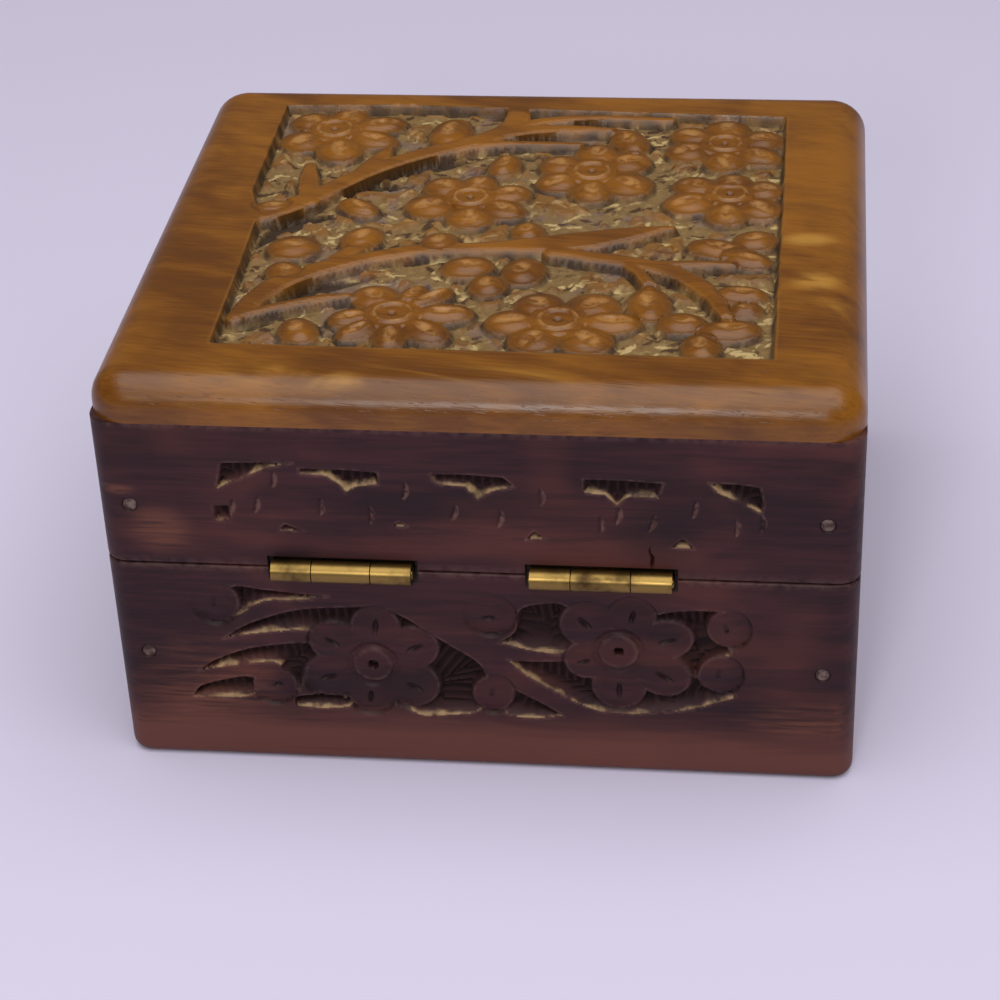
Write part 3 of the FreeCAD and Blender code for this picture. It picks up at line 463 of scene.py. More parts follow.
def flower_relief(p, q, field, flower, style):
    """Distance to a flower's outline, the depth of its surface, its gouged scoops and its ring."""
    across, upward, petals = flower
    middle = field.points([(across, upward)])[0]
    nearest = np.full(p.shape, FAR)
    depth = np.zeros(p.shape)
    scoops = np.zeros(p.shape)
    for i, (angle, reach) in enumerate(petals):
        length = reach * field.height
        turn = (petals[(i + 1) % len(petals)][0] - petals[i - 1][0]) % 360 / 4
        half_width = length * min(PETAL_MIDDLE_SHARE * math.tan(math.radians(turn)), PETAL_WIDTH_SHARE)
        ahead, aside = along_and_across(p, q, middle, angle)
        ahead_of_middle = ahead - PETAL_MIDDLE_SHARE * length
        edge = oval_distance(ahead_of_middle, aside, PETAL_LENGTH_SHARE * length, half_width)
        scoop = np.clip(1 - ((ahead / length - SCOOP_MIDDLE_SHARE) / style.scoop_length) ** 2
                        - (aside / half_width / style.scoop_width) ** 2, 0, 1)
        closer = edge < nearest
        dome = ease(-edge / (PETAL_DOME_SHARE * half_width))
        surface = MOTIF_SINK + style.drop * (1 - dome) + style.scoop_depth * scoop
        nearest[closer] = edge[closer]
        depth[closer] = surface[closer]
        scoops[closer] = np.sqrt(scoop)[closer]
    mean = sum(reach for _, reach in petals) / len(petals) * field.height
    out = np.hypot(p - middle[0], q - middle[1])
    heart = out - HEART_SHARE * mean
    depth = np.where((nearest > 0) & (heart < 0), MOTIF_SINK + HEART_DROP * style.drop, depth)
    eye = out / (EYE_SHARE * mean)
    in_eye = eye < EYE_RING_SHARES[-1]
    depth = np.where(in_eye, np.interp(eye, EYE_RING_SHARES, style.eye_depths), depth)
    scoops = np.where(in_eye, 0, scoops)
    ring = soft_line(eye - RING_MIDDLE_SHARE, RING_WIDTH_SHARE)
    hole = ease((HOLE_SHARE - eye) / HOLE_EDGE_SHARE)
    return np.minimum(nearest, heart), depth, scoops, ring, hole


def bud_relief(p, q, field, bud, style):
    """Distance to a bud's outline, the depth of its surface and its gouged scoop; it has no ring or hole."""
    middle = field.points([bud[:2]])[0]
    length, width, degrees = bud[2:]
    half_length, half_width = length * field.height / 2, width * field.height / 2
    ahead, aside = along_and_across(p, q, middle, degrees)
    edge = oval_distance(ahead, aside, half_length, half_width)
    along = (ahead / half_length - BUD_SCOOP_SHIFT) / (BUD_SCOOP_LENGTH * style.scoop_length)
    across = (aside / half_width - BUD_SCOOP_SHIFT) / (BUD_SCOOP_WIDTH * style.scoop_width)
    scoop = np.clip(1 - along ** 2 - across ** 2, 0, 1)
    dome = ease(-edge / (BUD_DOME_SHARE * half_width))
    depth = MOTIF_SINK + style.drop * (1 - dome) + style.scoop_depth * scoop
    nothing = np.zeros(p.shape)
    return edge, depth, np.sqrt(scoop), nothing, nothing


def gouge_marks(p, q, field):
    """Short gouge cuts all over a field: their depth, and a tone for each."""
    chance = np.random.default_rng(GOUGE_SEED)
    depth = np.zeros(p.shape)
    tone = np.full(p.shape, 0.5)
    for _ in range(GOUGE_COUNT):
        middle = chance.uniform((0, 0), (field.length, field.height))
        half_length = chance.uniform(*GOUGE_LENGTHS) / 2
        half_width = chance.uniform(*GOUGE_WIDTHS) / 2
        degrees = chance.normal(GOUGE_DIRECTION, GOUGE_SPREAD)
        mark_tone = chance.uniform(0, 1)
        mark_depth = GOUGE_DEPTH * chance.uniform(*GOUGE_DEPTH_SHARES)
        chosen = np.flatnonzero(near(p, q, [middle], half_length))
        ahead, aside = along_and_across(p[chosen], q[chosen], middle, degrees)
        hollow = 1 - (ahead / half_length) ** 2 - (aside / half_width) ** 2
        on_it = hollow > 0
        depth[chosen[on_it]] = mark_depth * np.sqrt(hollow[on_it])
        tone[chosen[on_it]] = mark_tone
    return depth, tone


def top_carving(p, q, field, only_cut=False):
    """Flowers, buds and stems that stand in one sunk ground."""
    relief = Relief(p.size)
    ground = outline_distance(p, q, field.points(TOP_GROUND_SHARES))[0]
    standing = np.full(p.shape, FAR)
    surface = np.zeros(p.shape)
    for stem in TOP_STEM_SHARES:
        edge = band_distance(p, q, smooth_line(field.points(stem)))
        closer = edge < standing
        standing[closer] = edge[closer]
        surface[closer] = STEM_DROP * (1 - ease(-edge / STEM_ROUND))[closer]
    motifs = [flower_relief(p, q, field, flower, TOP_STYLE) for flower in TOP_FLOWER_SHARES]
    motifs += [bud_relief(p, q, field, bud, TOP_STYLE) for bud in TOP_BUD_SHARES]
    for edge, depth, scoops, ring, hole in motifs:
        on_it = edge < RIM_REACH
        beside = (edge >= RIM_REACH) & (edge < 2 * WALL_RUN) & (edge < standing)
        depth = np.where(standing < 0, np.minimum(depth, OVERLAP_DEPTH), depth)
        surface[on_it | beside] = depth[on_it | beside]
        # Scoops and eye rings painted pale, partly a painted highlight; painted shade in the eye holes and
        # along the rims
        relief.fresh[on_it] = np.maximum(scoops, 0.7 * ring)[on_it]
        rim_shade = 0.45 * ease(1 + edge / RIM_SHADE_WIDTH) * (1 - scoops)
        relief.dark[on_it] = np.maximum(0.5 * hole, rim_shade)[on_it]
        standing = np.minimum(standing, edge)
    relief.cut = np.maximum(ground, -standing)
    if only_cut:
        return relief
    relief.sunk = ease(-relief.cut / WALL_RUN)
    inside = ease(-ground / FIELD_EDGE)
    slit = np.full(p.shape, FAR)
    for line in TOP_SLIT_SHARES:
        slit = np.minimum(slit, band_distance(p, q, smooth_line(field.points(line))))
    # Painted shade in the slits, up to the rim of the motif beside them
    shade = ease(-slit / SLIT_RUN) * ease(SLIT_SHADE_START - relief.cut / SLIT_SHADE_RUN)
    slit = ease(-slit / SLIT_RUN) * ease(-relief.cut / (WALL_RUN / 2))
    marks, relief.tone = gouge_marks(p, q, field)
    lumps = ease((uneven(p, q, LUMP_SIZE, seed=7.7) - LUMP_LEVEL) / LUMP_RISE)
    lumps *= ease(-(relief.cut + WALL_RUN) / LUMP_CLEARANCE)
    swell = FLOOR_SWELL * uneven(p, q, FLOOR_SWELL_SIZE, seed=3.1)
    floor = TOP_CARVING_DEPTH + swell - marks - LUMP_HEIGHT * lumps
    relief.depth = surface * (1 - relief.sunk) * inside + relief.sunk * floor
    # Painted shade at the foot of the cut sides, uneven in patches
    foot = soft_line(relief.cut + FOOT_SHARE * WALL_RUN, FOOT_REACH, SOFT_START)
    foot *= np.clip(0.6 + uneven(p, q, FOOT_SHADE_PATCH_SIZE, seed=9.2), 0.15, 0.95)
    relief.add(depth=slit * (TOP_CARVING_DEPTH + SLIT_DEPTH), dark=np.maximum(shade, foot))
    relief.fresh *= inside * (1 - relief.sunk)
    relief.sunk *= 1 - 0.6 * lumps
    # Pale line along every cut's edge: partly rubbed wear, partly painted highlight
    relief.rub = soft_line(relief.cut - EDGE_LINE_MIDDLE, TOP_EDGE_LINE_REACH)
    return relief


def pocket_cut(relief, p, q, outline, depth, standing, lower_run):
    """A pocket with upright sides, a leaning lower edge and chisel marks across its floor."""
    edge, lean, along = outline_distance(p, q, outline)
    cut = np.maximum(edge, -standing)
    lower = np.clip(lean, 0, 1) * (edge < 0)
    run = WALL_RUN + lower_run * lower
    clear = ease(standing / WALL_RUN)
    sunk = ease(-edge / run) * clear
    ribs = 0.5 - 0.5 * np.cos(2 * math.pi * along / RIB_PITCH)
    width = PALE_LINE_WIDTH * (1 + uneven(p, q, CHIP_SIZE, seed=5.3))
    line = ease((lower - PALE_LINE_LEAN) / PALE_LINE_LEAN) * ease((width + edge) / PALE_LINE_EDGE) * (edge < 0) * clear
    # Painted shade on the pocket floor, lighter on the rib crests; pale lower edge and rim, partly painted
    # highlight
    relief.add(depth=sunk * (depth - RIB_HEIGHT * ribs), fresh=line, sunk=sunk,
               dark=sunk ** 2 * (1 - 0.6 * ribs), rub=0.6 * soft_line(cut - EDGE_LINE_MIDDLE, POCKET_EDGE_LINE_REACH))
    relief.cut = np.minimum(relief.cut, cut)


def closed_curve(field, shares):
    """A smooth outline with a sharp tip at its first point."""
    points = field.points(shares)
    return smooth_line(np.vstack([points, points[:1]]))[:-1]


def base_carving(p, q, field, only_cut=False):
    """Two flowers with buds, in curved pockets."""
    relief = Relief(p.size)
    motifs = [flower_relief(p, q, field, flower, BASE_STYLE) for flower in BASE_FLOWER_SHARES]
    motifs += [bud_relief(p, q, field, bud, BASE_STYLE) for bud in BASE_BUD_SHARES]
    standing = np.min([motif[0] for motif in motifs], axis=0)
    for shares in BASE_POCKET_SHARES:
        pocket_cut(relief, p, q, closed_curve(field, shares), BASE_CARVING_DEPTH, standing, LOWER_RUN)
    relief.cut = np.where(np.abs(standing) < np.abs(relief.cut), standing, relief.cut)
    if only_cut:
        return relief
    middles = field.points([motif[:2] for motif in BASE_FLOWER_SHARES + BASE_BUD_SHARES])
    for i, (edge, depth, scoops, ring, hole) in enumerate(motifs):
        on_it = edge < RIM_REACH
        turn = np.arctan2(q - middles[i][1], p - middles[i][0])
        lower_side = ease(0.75 - 0.75 * np.cos(turn - math.radians(BUD_SIDE)))
        fade = 1 if i < len(BASE_FLOWER_SHARES) else 0.15 + 0.85 * lower_side
        relief.depth[on_it] = (depth * fade)[on_it]
        # Painted shade in the scoops and the eye hole; the eye ring painted paler, partly a painted highlight
        relief.dark[on_it] = np.maximum(0.75 * scoops, hole)[on_it]
        relief.rub[on_it] = np.maximum(relief.rub, 0.5 * ring)[on_it]
        # A groove round each motif, darkened with painted shade
        moat = soft_line(edge - MOAT_MIDDLE, MOAT_REACH) * fade
        relief.add(depth=MOAT_DEPTH * moat, dark=0.7 * moat)
    return relief


def lid_carving(p, q, field, only_cut=False):
    """A row of wedge cuts and thumbnail cuts that draw flowers on the lid's walls."""
    relief = Relief(p.size)
    clear = np.full(p.shape, FAR)
    for shares in LID_POCKET_SHARES:
        pocket_cut(relief, p, q, field.points(shares), LID_CARVING_DEPTH, clear, 0.5 * LOWER_RUN)
    if only_cut:
        return relief
    for i, share in enumerate(LID_NICK_SHARES):
        degrees = NICK_DIRECTION + NICK_TURN * math.sin(5 * i)
        ahead, aside = along_and_across(p, q, field.points([share])[0], degrees)
        length, width = NICK_LENGTH_SHARE * field.height / 2, NICK_WIDTH_SHARE * field.height / 2
        edge = oval_distance(ahead, aside - NICK_BEND * ahead ** 2, length, width)
        hollow = ease(-edge / width)
        # Painted shade on one side of each thumbnail cut and a painted highlight on the other
        relief.add(depth=NICK_DEPTH * hollow, dark=0.3 * hollow * (aside > 0),
                   rub=1.2 * ease(-edge / NICK_HIGHLIGHT_EDGE) * (aside < 0.1))
    return relief


def snapped(p, q, field, carving, step):
    """Places moved to the edge or the foot of the nearest cut, where that is less than half a step away."""
    cut = carving(p, q, field, only_cut=True).cut
    lean_p = (carving(p + SNAP_TRIAL, q, field, only_cut=True).cut - cut) / SNAP_TRIAL
    lean_q = (carving(p, q + SNAP_TRIAL, field, only_cut=True).cut - cut) / SNAP_TRIAL
    for line in (0.0, -WALL_RUN):
        gap = cut - line
        move = np.where((np.abs(gap) < step / 2) & (np.hypot(lean_p, lean_q) < SNAP_LEAN), gap, 0)
        p, q = p - move * lean_p, q - move * lean_q
    return p, q


class Face:
    """The outer face of a board: its lower left corner as seen from outside, and its directions."""

    def __init__(self, corner, right, up):
        self.corner = np.array(corner, float)
        self.right = np.array(right, float)
        self.up = np.array(up, float)
        self.out = np.cross(self.right, self.up)

    def place(self, across, upward, behind):
        """Points of the model for distances on the face and behind it."""
        return (self.corner + np.outer(across, self.right) + np.outer(upward, self.up)
                - np.outer(behind, self.out)) * MM

    def behind(self, points):
        """How far points of the model lie behind the face."""
        return -((points / MM - self.corner) @ self.out)


def spaced(*stops):
    """Grid lines between stops, each a place and the step from there on; the last step has no use."""
    lines = []
    for (start, step), (end, _) in zip(stops, stops[1:]):
        count = max(1, math.ceil((end - start) / step))
        lines += list(np.linspace(start, end, count, endpoint=False))
    return np.array(lines + [stops[-1][0]])


def grid_mesh(columns, rows):
    """A flat grid, and the column and row of each of its vertices."""
    bm = bmesh.new()
    bmesh.ops.create_grid(bm, x_segments=columns - 1, y_segments=rows - 1, size=0.5)
    mesh = bpy.data.meshes.new("grid")
    bm.to_mesh(mesh)
    bm.free()
    flat = np.zeros(len(mesh.vertices) * 3)
    mesh.vertices.foreach_get("co", flat)
    flat = flat.reshape(-1, 3) + 0.5
    return mesh, np.rint(flat[:, 0] * (columns - 1)).astype(int), np.rint(flat[:, 1] * (rows - 1)).astype(int)


def closed_board(name, mesh, points, masks, face, thickness, finishes):
    """The board behind a carved skin: its sides run back to the inner face, which has the second finish."""
    for finish in finishes:
        mesh.materials.append(finish)
    mesh.vertices.foreach_set("co", points.astype(np.float32).ravel())
    for mask, values in masks.items():
        layer = mesh.attributes.new(mask, "FLOAT", "POINT")
        layer.data.foreach_set("value", values.astype(np.float32))
    bm = bmesh.new()
    bm.from_mesh(mesh)
    bmesh.ops.triangulate(bm, faces=bm.faces, quad_method="SHORT_EDGE")
    edges = [edge for edge in bm.edges if edge.is_boundary]
    made = bmesh.ops.extrude_edge_only(bm, edges=edges)["geom"]
    back = [item for item in made if isinstance(item, bmesh.types.BMVert)]
    gaps = thickness - face.behind(np.array([vert.co for vert in back]))
    layers = [bm.verts.layers.float[mask] for mask in masks]
    for vert, gap in zip(back, gaps):
        vert.co -= Vector(face.out * gap * MM)
        for layer in layers:
            vert[layer] = 0
    rim = [item for item in made if isinstance(item, bmesh.types.BMEdge) and item.is_boundary]
    inner = bmesh.ops.edgeloop_fill(bm, edges=rim)["faces"]
    for polygon in inner:
        polygon.material_index = INSIDE
    bmesh.ops.recalc_face_normals(bm, faces=bm.faces)
    bm.to_mesh(mesh)
    bm.free()
    mesh.name = name
    piece = bpy.data.objects.new(name, mesh)
    bpy.context.scene.collection.objects.link(piece)
    return piece


def carve(across, upward, field, carving, step):
    """Places of a face, moved a little to follow the cuts in its field, and their depth and finish."""
    plain = Relief(across.size)
    depth, masks = plain.depth, plain.masks()
    p, q = field.places(across, upward)
    edge = 2 * FIELD_MARGIN
    chosen = (p > -edge) & (p < field.length + edge) & (q > -edge) & (q < field.height + edge)
    p, q = snapped(p[chosen], q[chosen], field, carving, step)
    relief = carving(p, q, field)
    depth[chosen] = relief.depth
    for mask, values in relief.masks().items():
        masks[mask][chosen] = values
    across, upward = across.copy(), upward.copy()
    across[chosen] = field.left + (field.length - p if field.mirrored else p)
    upward[chosen] = field.below + q
    return across, upward, depth, masks


def soft_spots(across, upward, spots):
    """A mask of soft ovals."""
    mask = np.zeros(across.size)
    for x, y, half_length, half_height in spots:
        share = np.hypot((across - x) / half_length, (upward - y) / half_height)
        mask = np.maximum(mask, ease(SOFT_START - share))
    return mask


def nail_pits(across, upward, depth, masks, places):
    """Sinks the heads of nails into the face."""
    for x, y in places:
        out = np.hypot(across - x, upward - y)
        pit = ease((NAIL_PIT_RADIUS + NAIL_PIT_EDGE / 2 - out) / NAIL_PIT_EDGE)
        np.maximum(depth, NAIL_PIT_DEPTH * pit, out=depth)
        stain = 0.5 * ease((NAIL_PIT_RADIUS + NAIL_STAIN_REACH - out) / (2 * NAIL_PIT_EDGE))
        masks["dark"][:] = np.maximum(masks["dark"], stain)


def wall_piece(name, face, length, height, radii, field, carving, finishes, nails, wear, round_ends):
    """A carved wall: radii are those of its lower and upper edge."""
    end = CORNER_RADIUS if round_ends else 0.0
    stops = [(end, END_STEP)]
    for x, _ in nails:
        if x < length / 2:
            stops += [(max(end, x - NAIL_REACH), NAIL_STEP), (x + NAIL_REACH, COARSE_STEP)]
    stops += [(field.left - FIELD_MARGIN, WALL_STEP), (field.left + field.length + FIELD_MARGIN, COARSE_STEP)]
    for x, _ in nails:
        if x > length / 2:
            stops += [(x - NAIL_REACH, NAIL_STEP), (min(length - end, x + NAIL_REACH), END_STEP)]
    straight = spaced(*stops, (length - end, 0))
    turns = np.linspace(0, math.pi / 2, ROUND_STEPS)[1:] if round_ends else np.zeros(0)
    base = np.concatenate([np.full(turns.size, end), straight, np.full(turns.size, length - end)])
    turn = np.concatenate([-turns[::-1], np.zeros(straight.size), turns])

    flat_rows = spaced((radii[0], COARSE_STEP), (field.below - FIELD_MARGIN, WALL_STEP),
                       (field.below + field.height + FIELD_MARGIN, COARSE_STEP), (height - radii[1], 0))
    arc = np.linspace(math.pi / 2, 0, ROUND_STEPS)[:-1]
    foot = radii[0] * (1 - np.sin(arc)) if radii[0] else np.zeros(0)
    rim = height - radii[1] * (1 - np.sin(arc[::-1])) if radii[1] else np.zeros(0)
    rows = np.concatenate([foot, flat_rows, rim])
    insets = np.concatenate([radii[0] * (1 - np.cos(arc)) if radii[0] else foot, np.zeros(flat_rows.size),
                             radii[1] * (1 - np.cos(arc[::-1])) if radii[1] else rim])

    mesh, column, row = grid_mesh(base.size, rows.size)
    inset = insets[row]
    across = base[column] + (end - inset) * np.sin(turn[column])
    behind = end - (end - inset) * np.cos(turn[column])
    upward = rows[row]
    across, upward, depth, masks = carve(across, upward, field, carving, WALL_STEP)
    nail_pits(across, upward, depth, masks, nails)
    corner = np.minimum(np.minimum(across, length - across), np.minimum(upward, height - upward))
    masks["rub"] = np.maximum(masks["rub"], 0.5 * ease(1 - corner / CORNER_RUB) if round_ends else 0)
    masks["worn"] = soft_spots(across, upward, wear.get("worn", ()))
    masks["dark"] = np.maximum(masks["dark"], 0.5 * soft_spots(across, upward, wear.get("stain", ())))
    if "crack" in wear:
        crack = ease(-band_distance(across, upward, wear["crack"]) / CRACK_EDGE)
        depth = np.maximum(depth, CRACK_DEPTH * crack)
        # Painted shade in the crack
        masks["dark"] = np.maximum(masks["dark"], crack)
    points = face.place(across, upward, behind + depth)
    return closed_board(name, mesh, points, masks, face, WALL_THICKNESS, finishes)


def cut_away(piece, cutter):
    """Cuts one shape out of a piece and deletes the cutter."""
    knife = piece.modifiers.new("cut", "BOOLEAN")
    knife.operation = "DIFFERENCE"
    knife.solver = "EXACT"
    knife.object = cutter
    view = bpy.context.evaluated_depsgraph_get()
    mesh = bpy.data.meshes.new_from_object(piece.evaluated_get(view))
    piece.modifiers.clear()
    old, piece.data = piece.data, mesh
    bpy.data.meshes.remove(old)
    mesh.name = piece.name
    bpy.data.objects.remove(cutter)


def cutter_piece(bm, finish):
    """A shape to cut with, all in one of the board's finishes."""
    for polygon in bm.faces:
        polygon.material_index = finish
    mesh = bpy.data.meshes.new("cutter")
    bm.to_mesh(mesh)
    bm.free()
    cutter = bpy.data.objects.new("cutter", mesh)
    bpy.context.scene.collection.objects.link(cutter)
    return cutter


def add_block(bm, low, high):
    """A block between two corners."""
    size = np.array(high) - np.array(low)
    middle = (np.array(high) + np.array(low)) / 2
    matrix = Matrix.Translation(Vector(middle * MM)) @ Matrix.Diagonal((*(size * MM), 1))
    bmesh.ops.create_cube(bm, size=1, matrix=matrix)


def rebate():
    """The room for the bottom board."""
    bm = bmesh.new()
    reach = np.array([INNER_HALF_WIDTH, INNER_HALF_DEPTH]) + REBATE_WIDTH
    add_block(bm, (*-reach, -OVERRUN), (*reach, BOTTOM_THICKNESS))
    return cutter_piece(bm, INSIDE)


def hinge_mortises(way):
    """The let-in rooms of the hinge leaves: way is 1 in the lid and -1 in the base."""
    bm = bmesh.new()
    for low, high in HINGE_BOXES:
        rim = LID_BOTTOM if way > 0 else BASE_HEIGHT
        floor = rim + way * LEAF_THICKNESS
        opening = rim - way * OVERRUN
        add_block(bm, (low[0] - MORTISE_CLEARANCE, low[1] - MORTISE_CLEARANCE, min(floor, opening)),
                  (high[0] + MORTISE_CLEARANCE, HALF_DEPTH + OVERRUN, max(floor, opening)))
    return cutter_piece(bm, HINGE_ROOM)


def hinge_grooves():
    """The rounded grooves behind the hinge barrels."""
    bm = bmesh.new()
    for low, high in HINGE_BOXES:
        length = high[0] - low[0] + 2 * GROOVE_END
        middle = Vector(((low[0] + high[0]) / 2, AXIS[1], AXIS[2])) * MM
        matrix = Matrix.Translation(middle) @ Matrix.Rotation(math.pi / 2, 4, "Y")
        bmesh.ops.create_cone(bm, cap_ends=True, segments=GROOVE_SEGMENTS, radius1=GROOVE_RADIUS * MM,
                              radius2=GROOVE_RADIUS * MM, depth=length * MM, matrix=matrix)
    return cutter_piece(bm, HINGE_ROOM)


def millimetres(node):
    """A node's lowest and highest corner in millimetres."""
    return [np.array(corner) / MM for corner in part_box(node)]


# Sizes read from the frame
wall_low, wall_high = millimetres("base_rear_wall")
lid_low, lid_high = millimetres("lid_rear_wall")
HALF_WIDTH, HALF_DEPTH, BOX_HEIGHT = millimetres("lid_top_board")[1]
BASE_HEIGHT = wall_high[2]
LID_BOTTOM = lid_low[2]
LID_WALL_TOP = lid_high[2]
WALL_THICKNESS = wall_high[1] - wall_low[1]
INNER_HALF_WIDTH = HALF_WIDTH - WALL_THICKNESS
INNER_HALF_DEPTH = HALF_DEPTH - WALL_THICKNESS
BOTTOM_THICKNESS = millimetres("bottom_board")[1][2]
AXIS = np.array(frame["joints"][0]["pos_m"]) / MM
HINGE_BOXES = [millimetres(f"{side}_hinge_base_leaf") for side in ("left", "right")]


def long_face(side, low):
    """The outer face of the rear (1) or front (-1) wall."""
    return Face((side * HALF_WIDTH, side * HALF_DEPTH, low), (-side, 0, 0), (0, 0, 1))


def side_face(side, low):
    """The outer face of the right (1) or left (-1) wall."""
    return Face((side * HALF_WIDTH, -side * INNER_HALF_DEPTH, low), (0, side, 0), (0, 0, 1))


def build_walls(part, low, high, radii, margins, carving, rear_wear):
    """The four carved walls of the base or the lid."""
    left, right, below, above = margins
    height = high - low
    nails_low, nails_high = millimetres(f"{part}_corner_nails")
    nail_up = (nails_low[2] + nails_high[2]) / 2 - low
    nails = [(WALL_THICKNESS / 2, nail_up), (2 * HALF_WIDTH - WALL_THICKNESS / 2, nail_up)]
    field_height = height - below - above
    walls = {}
    for name, side in (("rear", 1), ("front", -1)):
        field = Field(left, below, 2 * HALF_WIDTH - left - right, field_height)
        walls[name] = wall_piece(f"carved_{part}_{name}_wall", long_face(side, low), 2 * HALF_WIDTH, height,
                                 radii, field, carving, WALL_FINISHES["X"], nails=nails,
                                 wear=rear_wear if side > 0 else {}, round_ends=True)
    side_length = 2 * INNER_HALF_DEPTH
    for name, side in (("right", 1), ("left", -1)):
        field = Field(SIDE_FIELD_END, below, side_length - 2 * SIDE_FIELD_END, field_height, side < 0)
        walls[name] = wall_piece(f"carved_{part}_{name}_wall", side_face(side, low), side_length, height,
                                 radii, field, carving, WALL_FINISHES["Y"], nails=(), wear={},
                                 round_ends=False)
    return walls


def build_top():
    """The top board, with rounded corners and edges and its carved field."""
    length, depth = 2 * HALF_WIDTH, 2 * HALF_DEPTH
    field = Field(TOP_FIELD_SIDE, TOP_FIELD_REAR, length - 2 * TOP_FIELD_SIDE,
                  depth - TOP_FIELD_REAR - TOP_FIELD_FRONT)
    arc = np.linspace(math.pi / 2, 0, ROUND_STEPS + 2)[:-1]
    edge = np.concatenate([TOP_EDGE_RADIUS * (1 - np.sin(arc)), [TOP_EDGE_RADIUS]])

    def lines(size, start, run):
        """Grid lines across the board, fine over its carved field."""
        inner = spaced((TOP_CORNER_RADIUS, COARSE_STEP), (start - FIELD_MARGIN, TOP_STEP),
                       (start + run + 2 * FIELD_MARGIN, COARSE_STEP), (size - TOP_CORNER_RADIUS, 0))
        return np.concatenate([edge, inner, size - edge[::-1]])

    columns, rows = lines(length, field.left, field.length), lines(depth, field.below, field.height)
    mesh, column, row = grid_mesh(columns.size, rows.size)

    def past(place, size):
        """How far a place lies past the straight part of an edge."""
        return place - np.clip(place, TOP_CORNER_RADIUS, size - TOP_CORNER_RADIUS)

    x, y = columns[column], rows[row]
    off_x, off_y = past(x, length), past(y, depth)
    p, q = off_x / TOP_CORNER_RADIUS, off_y / TOP_CORNER_RADIUS
    round_x, round_y = p * np.sqrt(1 - q * q / 2), q * np.sqrt(1 - p * p / 2)
    across = x - off_x + round_x * TOP_CORNER_RADIUS
    upward = y - off_y + round_y * TOP_CORNER_RADIUS
    inset = TOP_CORNER_RADIUS * (1 - np.hypot(round_x, round_y))
    short = np.maximum(TOP_EDGE_RADIUS - inset, 0)
    behind = TOP_EDGE_RADIUS - np.sqrt(np.maximum(TOP_EDGE_RADIUS ** 2 - short ** 2, 0))
    across, upward, carved, masks = carve(across, upward, field, top_carving, TOP_STEP)
    # Pale figure, and a painted highlight band along the rounded rear edge, off the sunk ground
    masks["figure_and_highlight"] = soft_spots(across, upward, TOP_FIGURE_AND_HIGHLIGHT_SPOTS) * (1 - masks["sunk"])
    face = Face((HALF_WIDTH, HALF_DEPTH, BOX_HEIGHT), (-1, 0, 0), (0, -1, 0))
    points = face.place(across, upward, behind + carved)
    thickness = BOX_HEIGHT - LID_WALL_TOP
    return closed_board("carved_top_board", mesh, points, masks, face, thickness, TOP_FINISHES)


class Value:
    """A socket of a finish. Sums on it add Math nodes."""

    def __init__(self, finish, socket):
        self.finish = finish
        self.socket = socket

    def __add__(self, other):
        return self.finish.math("ADD", self, other)

    def __radd__(self, other):
        return self.finish.math("ADD", other, self)

    def __sub__(self, other):
        return self.finish.math("SUBTRACT", self, other)

    def __rsub__(self, other):
        return self.finish.math("SUBTRACT", other, self)

    def __mul__(self, other):
        return self.finish.math("MULTIPLY", self, other)

    def __rmul__(self, other):
        return self.finish.math("MULTIPLY", other, self)


class Finish:
    """A material made of nodes."""

    def __init__(self, name):
        self.material = bpy.data.materials.new(name)
        self.material.use_nodes = True
        self.tree = self.material.node_tree
        self.shader = self.tree.nodes["Principled BSDF"]

    def node(self, kind, settings, sockets, output=0):
        """One output of a new node, after its settings and sockets are set."""
        made = self.tree.nodes.new(kind)
        for key, setting in settings.items():
            setattr(made, key, setting)
        for key, value in sockets.items():
            self.give(made.inputs[key], value)
        return Value(self, made.outputs[output])

    def give(self, socket, value):
        """Sets a socket or links it."""
        if isinstance(value, Value):
            self.tree.links.new(value.socket, socket)
        else:
            socket.default_value = value

    def set(self, **values):
        """Sets the shader's sockets, named with underscores for spaces."""
        for key, value in values.items():
            self.give(self.shader.inputs[key.replace("_", " ")], value)

    def math(self, operation, a, b):
        return self.node("ShaderNodeMath", {"operation": operation}, {0: a, 1: b})

    def mix(self, share, a, b):
        """A colour between two colours."""
        return self.node("ShaderNodeMix", {"data_type": "RGBA"}, {0: share, 6: a, 7: b}, 2)

    def place(self, scale, slant=0.0):
        """Places on the piece, with the pattern's own scale along each axis and its slant in degrees."""
        where = self.node("ShaderNodeTexCoord", {}, {}, "Object")
        if slant:
            where = self.node("ShaderNodeVectorRotate", {"rotation_type": "Z_AXIS"},
                              {"Vector": where, "Angle": math.radians(slant)})
        return self.node("ShaderNodeMapping", {}, {"Vector": where, "Scale": scale})

    def height(self):
        """Height above the underside, in metres."""
        where = self.node("ShaderNodeTexCoord", {}, {}, "Object")
        return self.node("ShaderNodeSeparateXYZ", {}, {"Vector": where}, "Z")

    def clouds(self, where, size=1.0, detail=4.0, rough=0.55, warp=0.0):
        return self.node("ShaderNodeTexNoise", {}, {"Vector": where, "Scale": size, "Detail": detail,
                                                    "Roughness": rough, "Distortion": warp})

    def ramp(self, value, low, high):
        """0 up to the low value and 1 from the high one."""
        return self.node("ShaderNodeMapRange", {"interpolation_type": "SMOOTHSTEP"},
                         {"Value": value, "From Min": low, "From Max": high})

    def mask(self, name):
        return self.node("ShaderNodeAttribute", {"attribute_name": name}, {}, "Fac")

    def bump(self, height, distance, strength=1.0, normal=None):
        sockets = {"Height": height, "Distance": distance, "Strength": strength}
        if normal:
            sockets["Normal"] = normal
        return self.node("ShaderNodeBump", {}, sockets)


def colour(red, green, blue):
    """A shader colour from the 0 to 255 values of a screen colour."""
    def linear(part):
        share = part / 255
        return share / 12.92 if share <= 0.04045 else ((share + 0.055) / 1.055) ** 2.4
    return (*[linear(part) for part in (red, green, blue)], 1)


def grain_scale(along, stretch, across):
    """Pattern scale of wood whose grain runs along an axis."""
    return tuple(stretch if axis == along else across for axis in "XYZ")


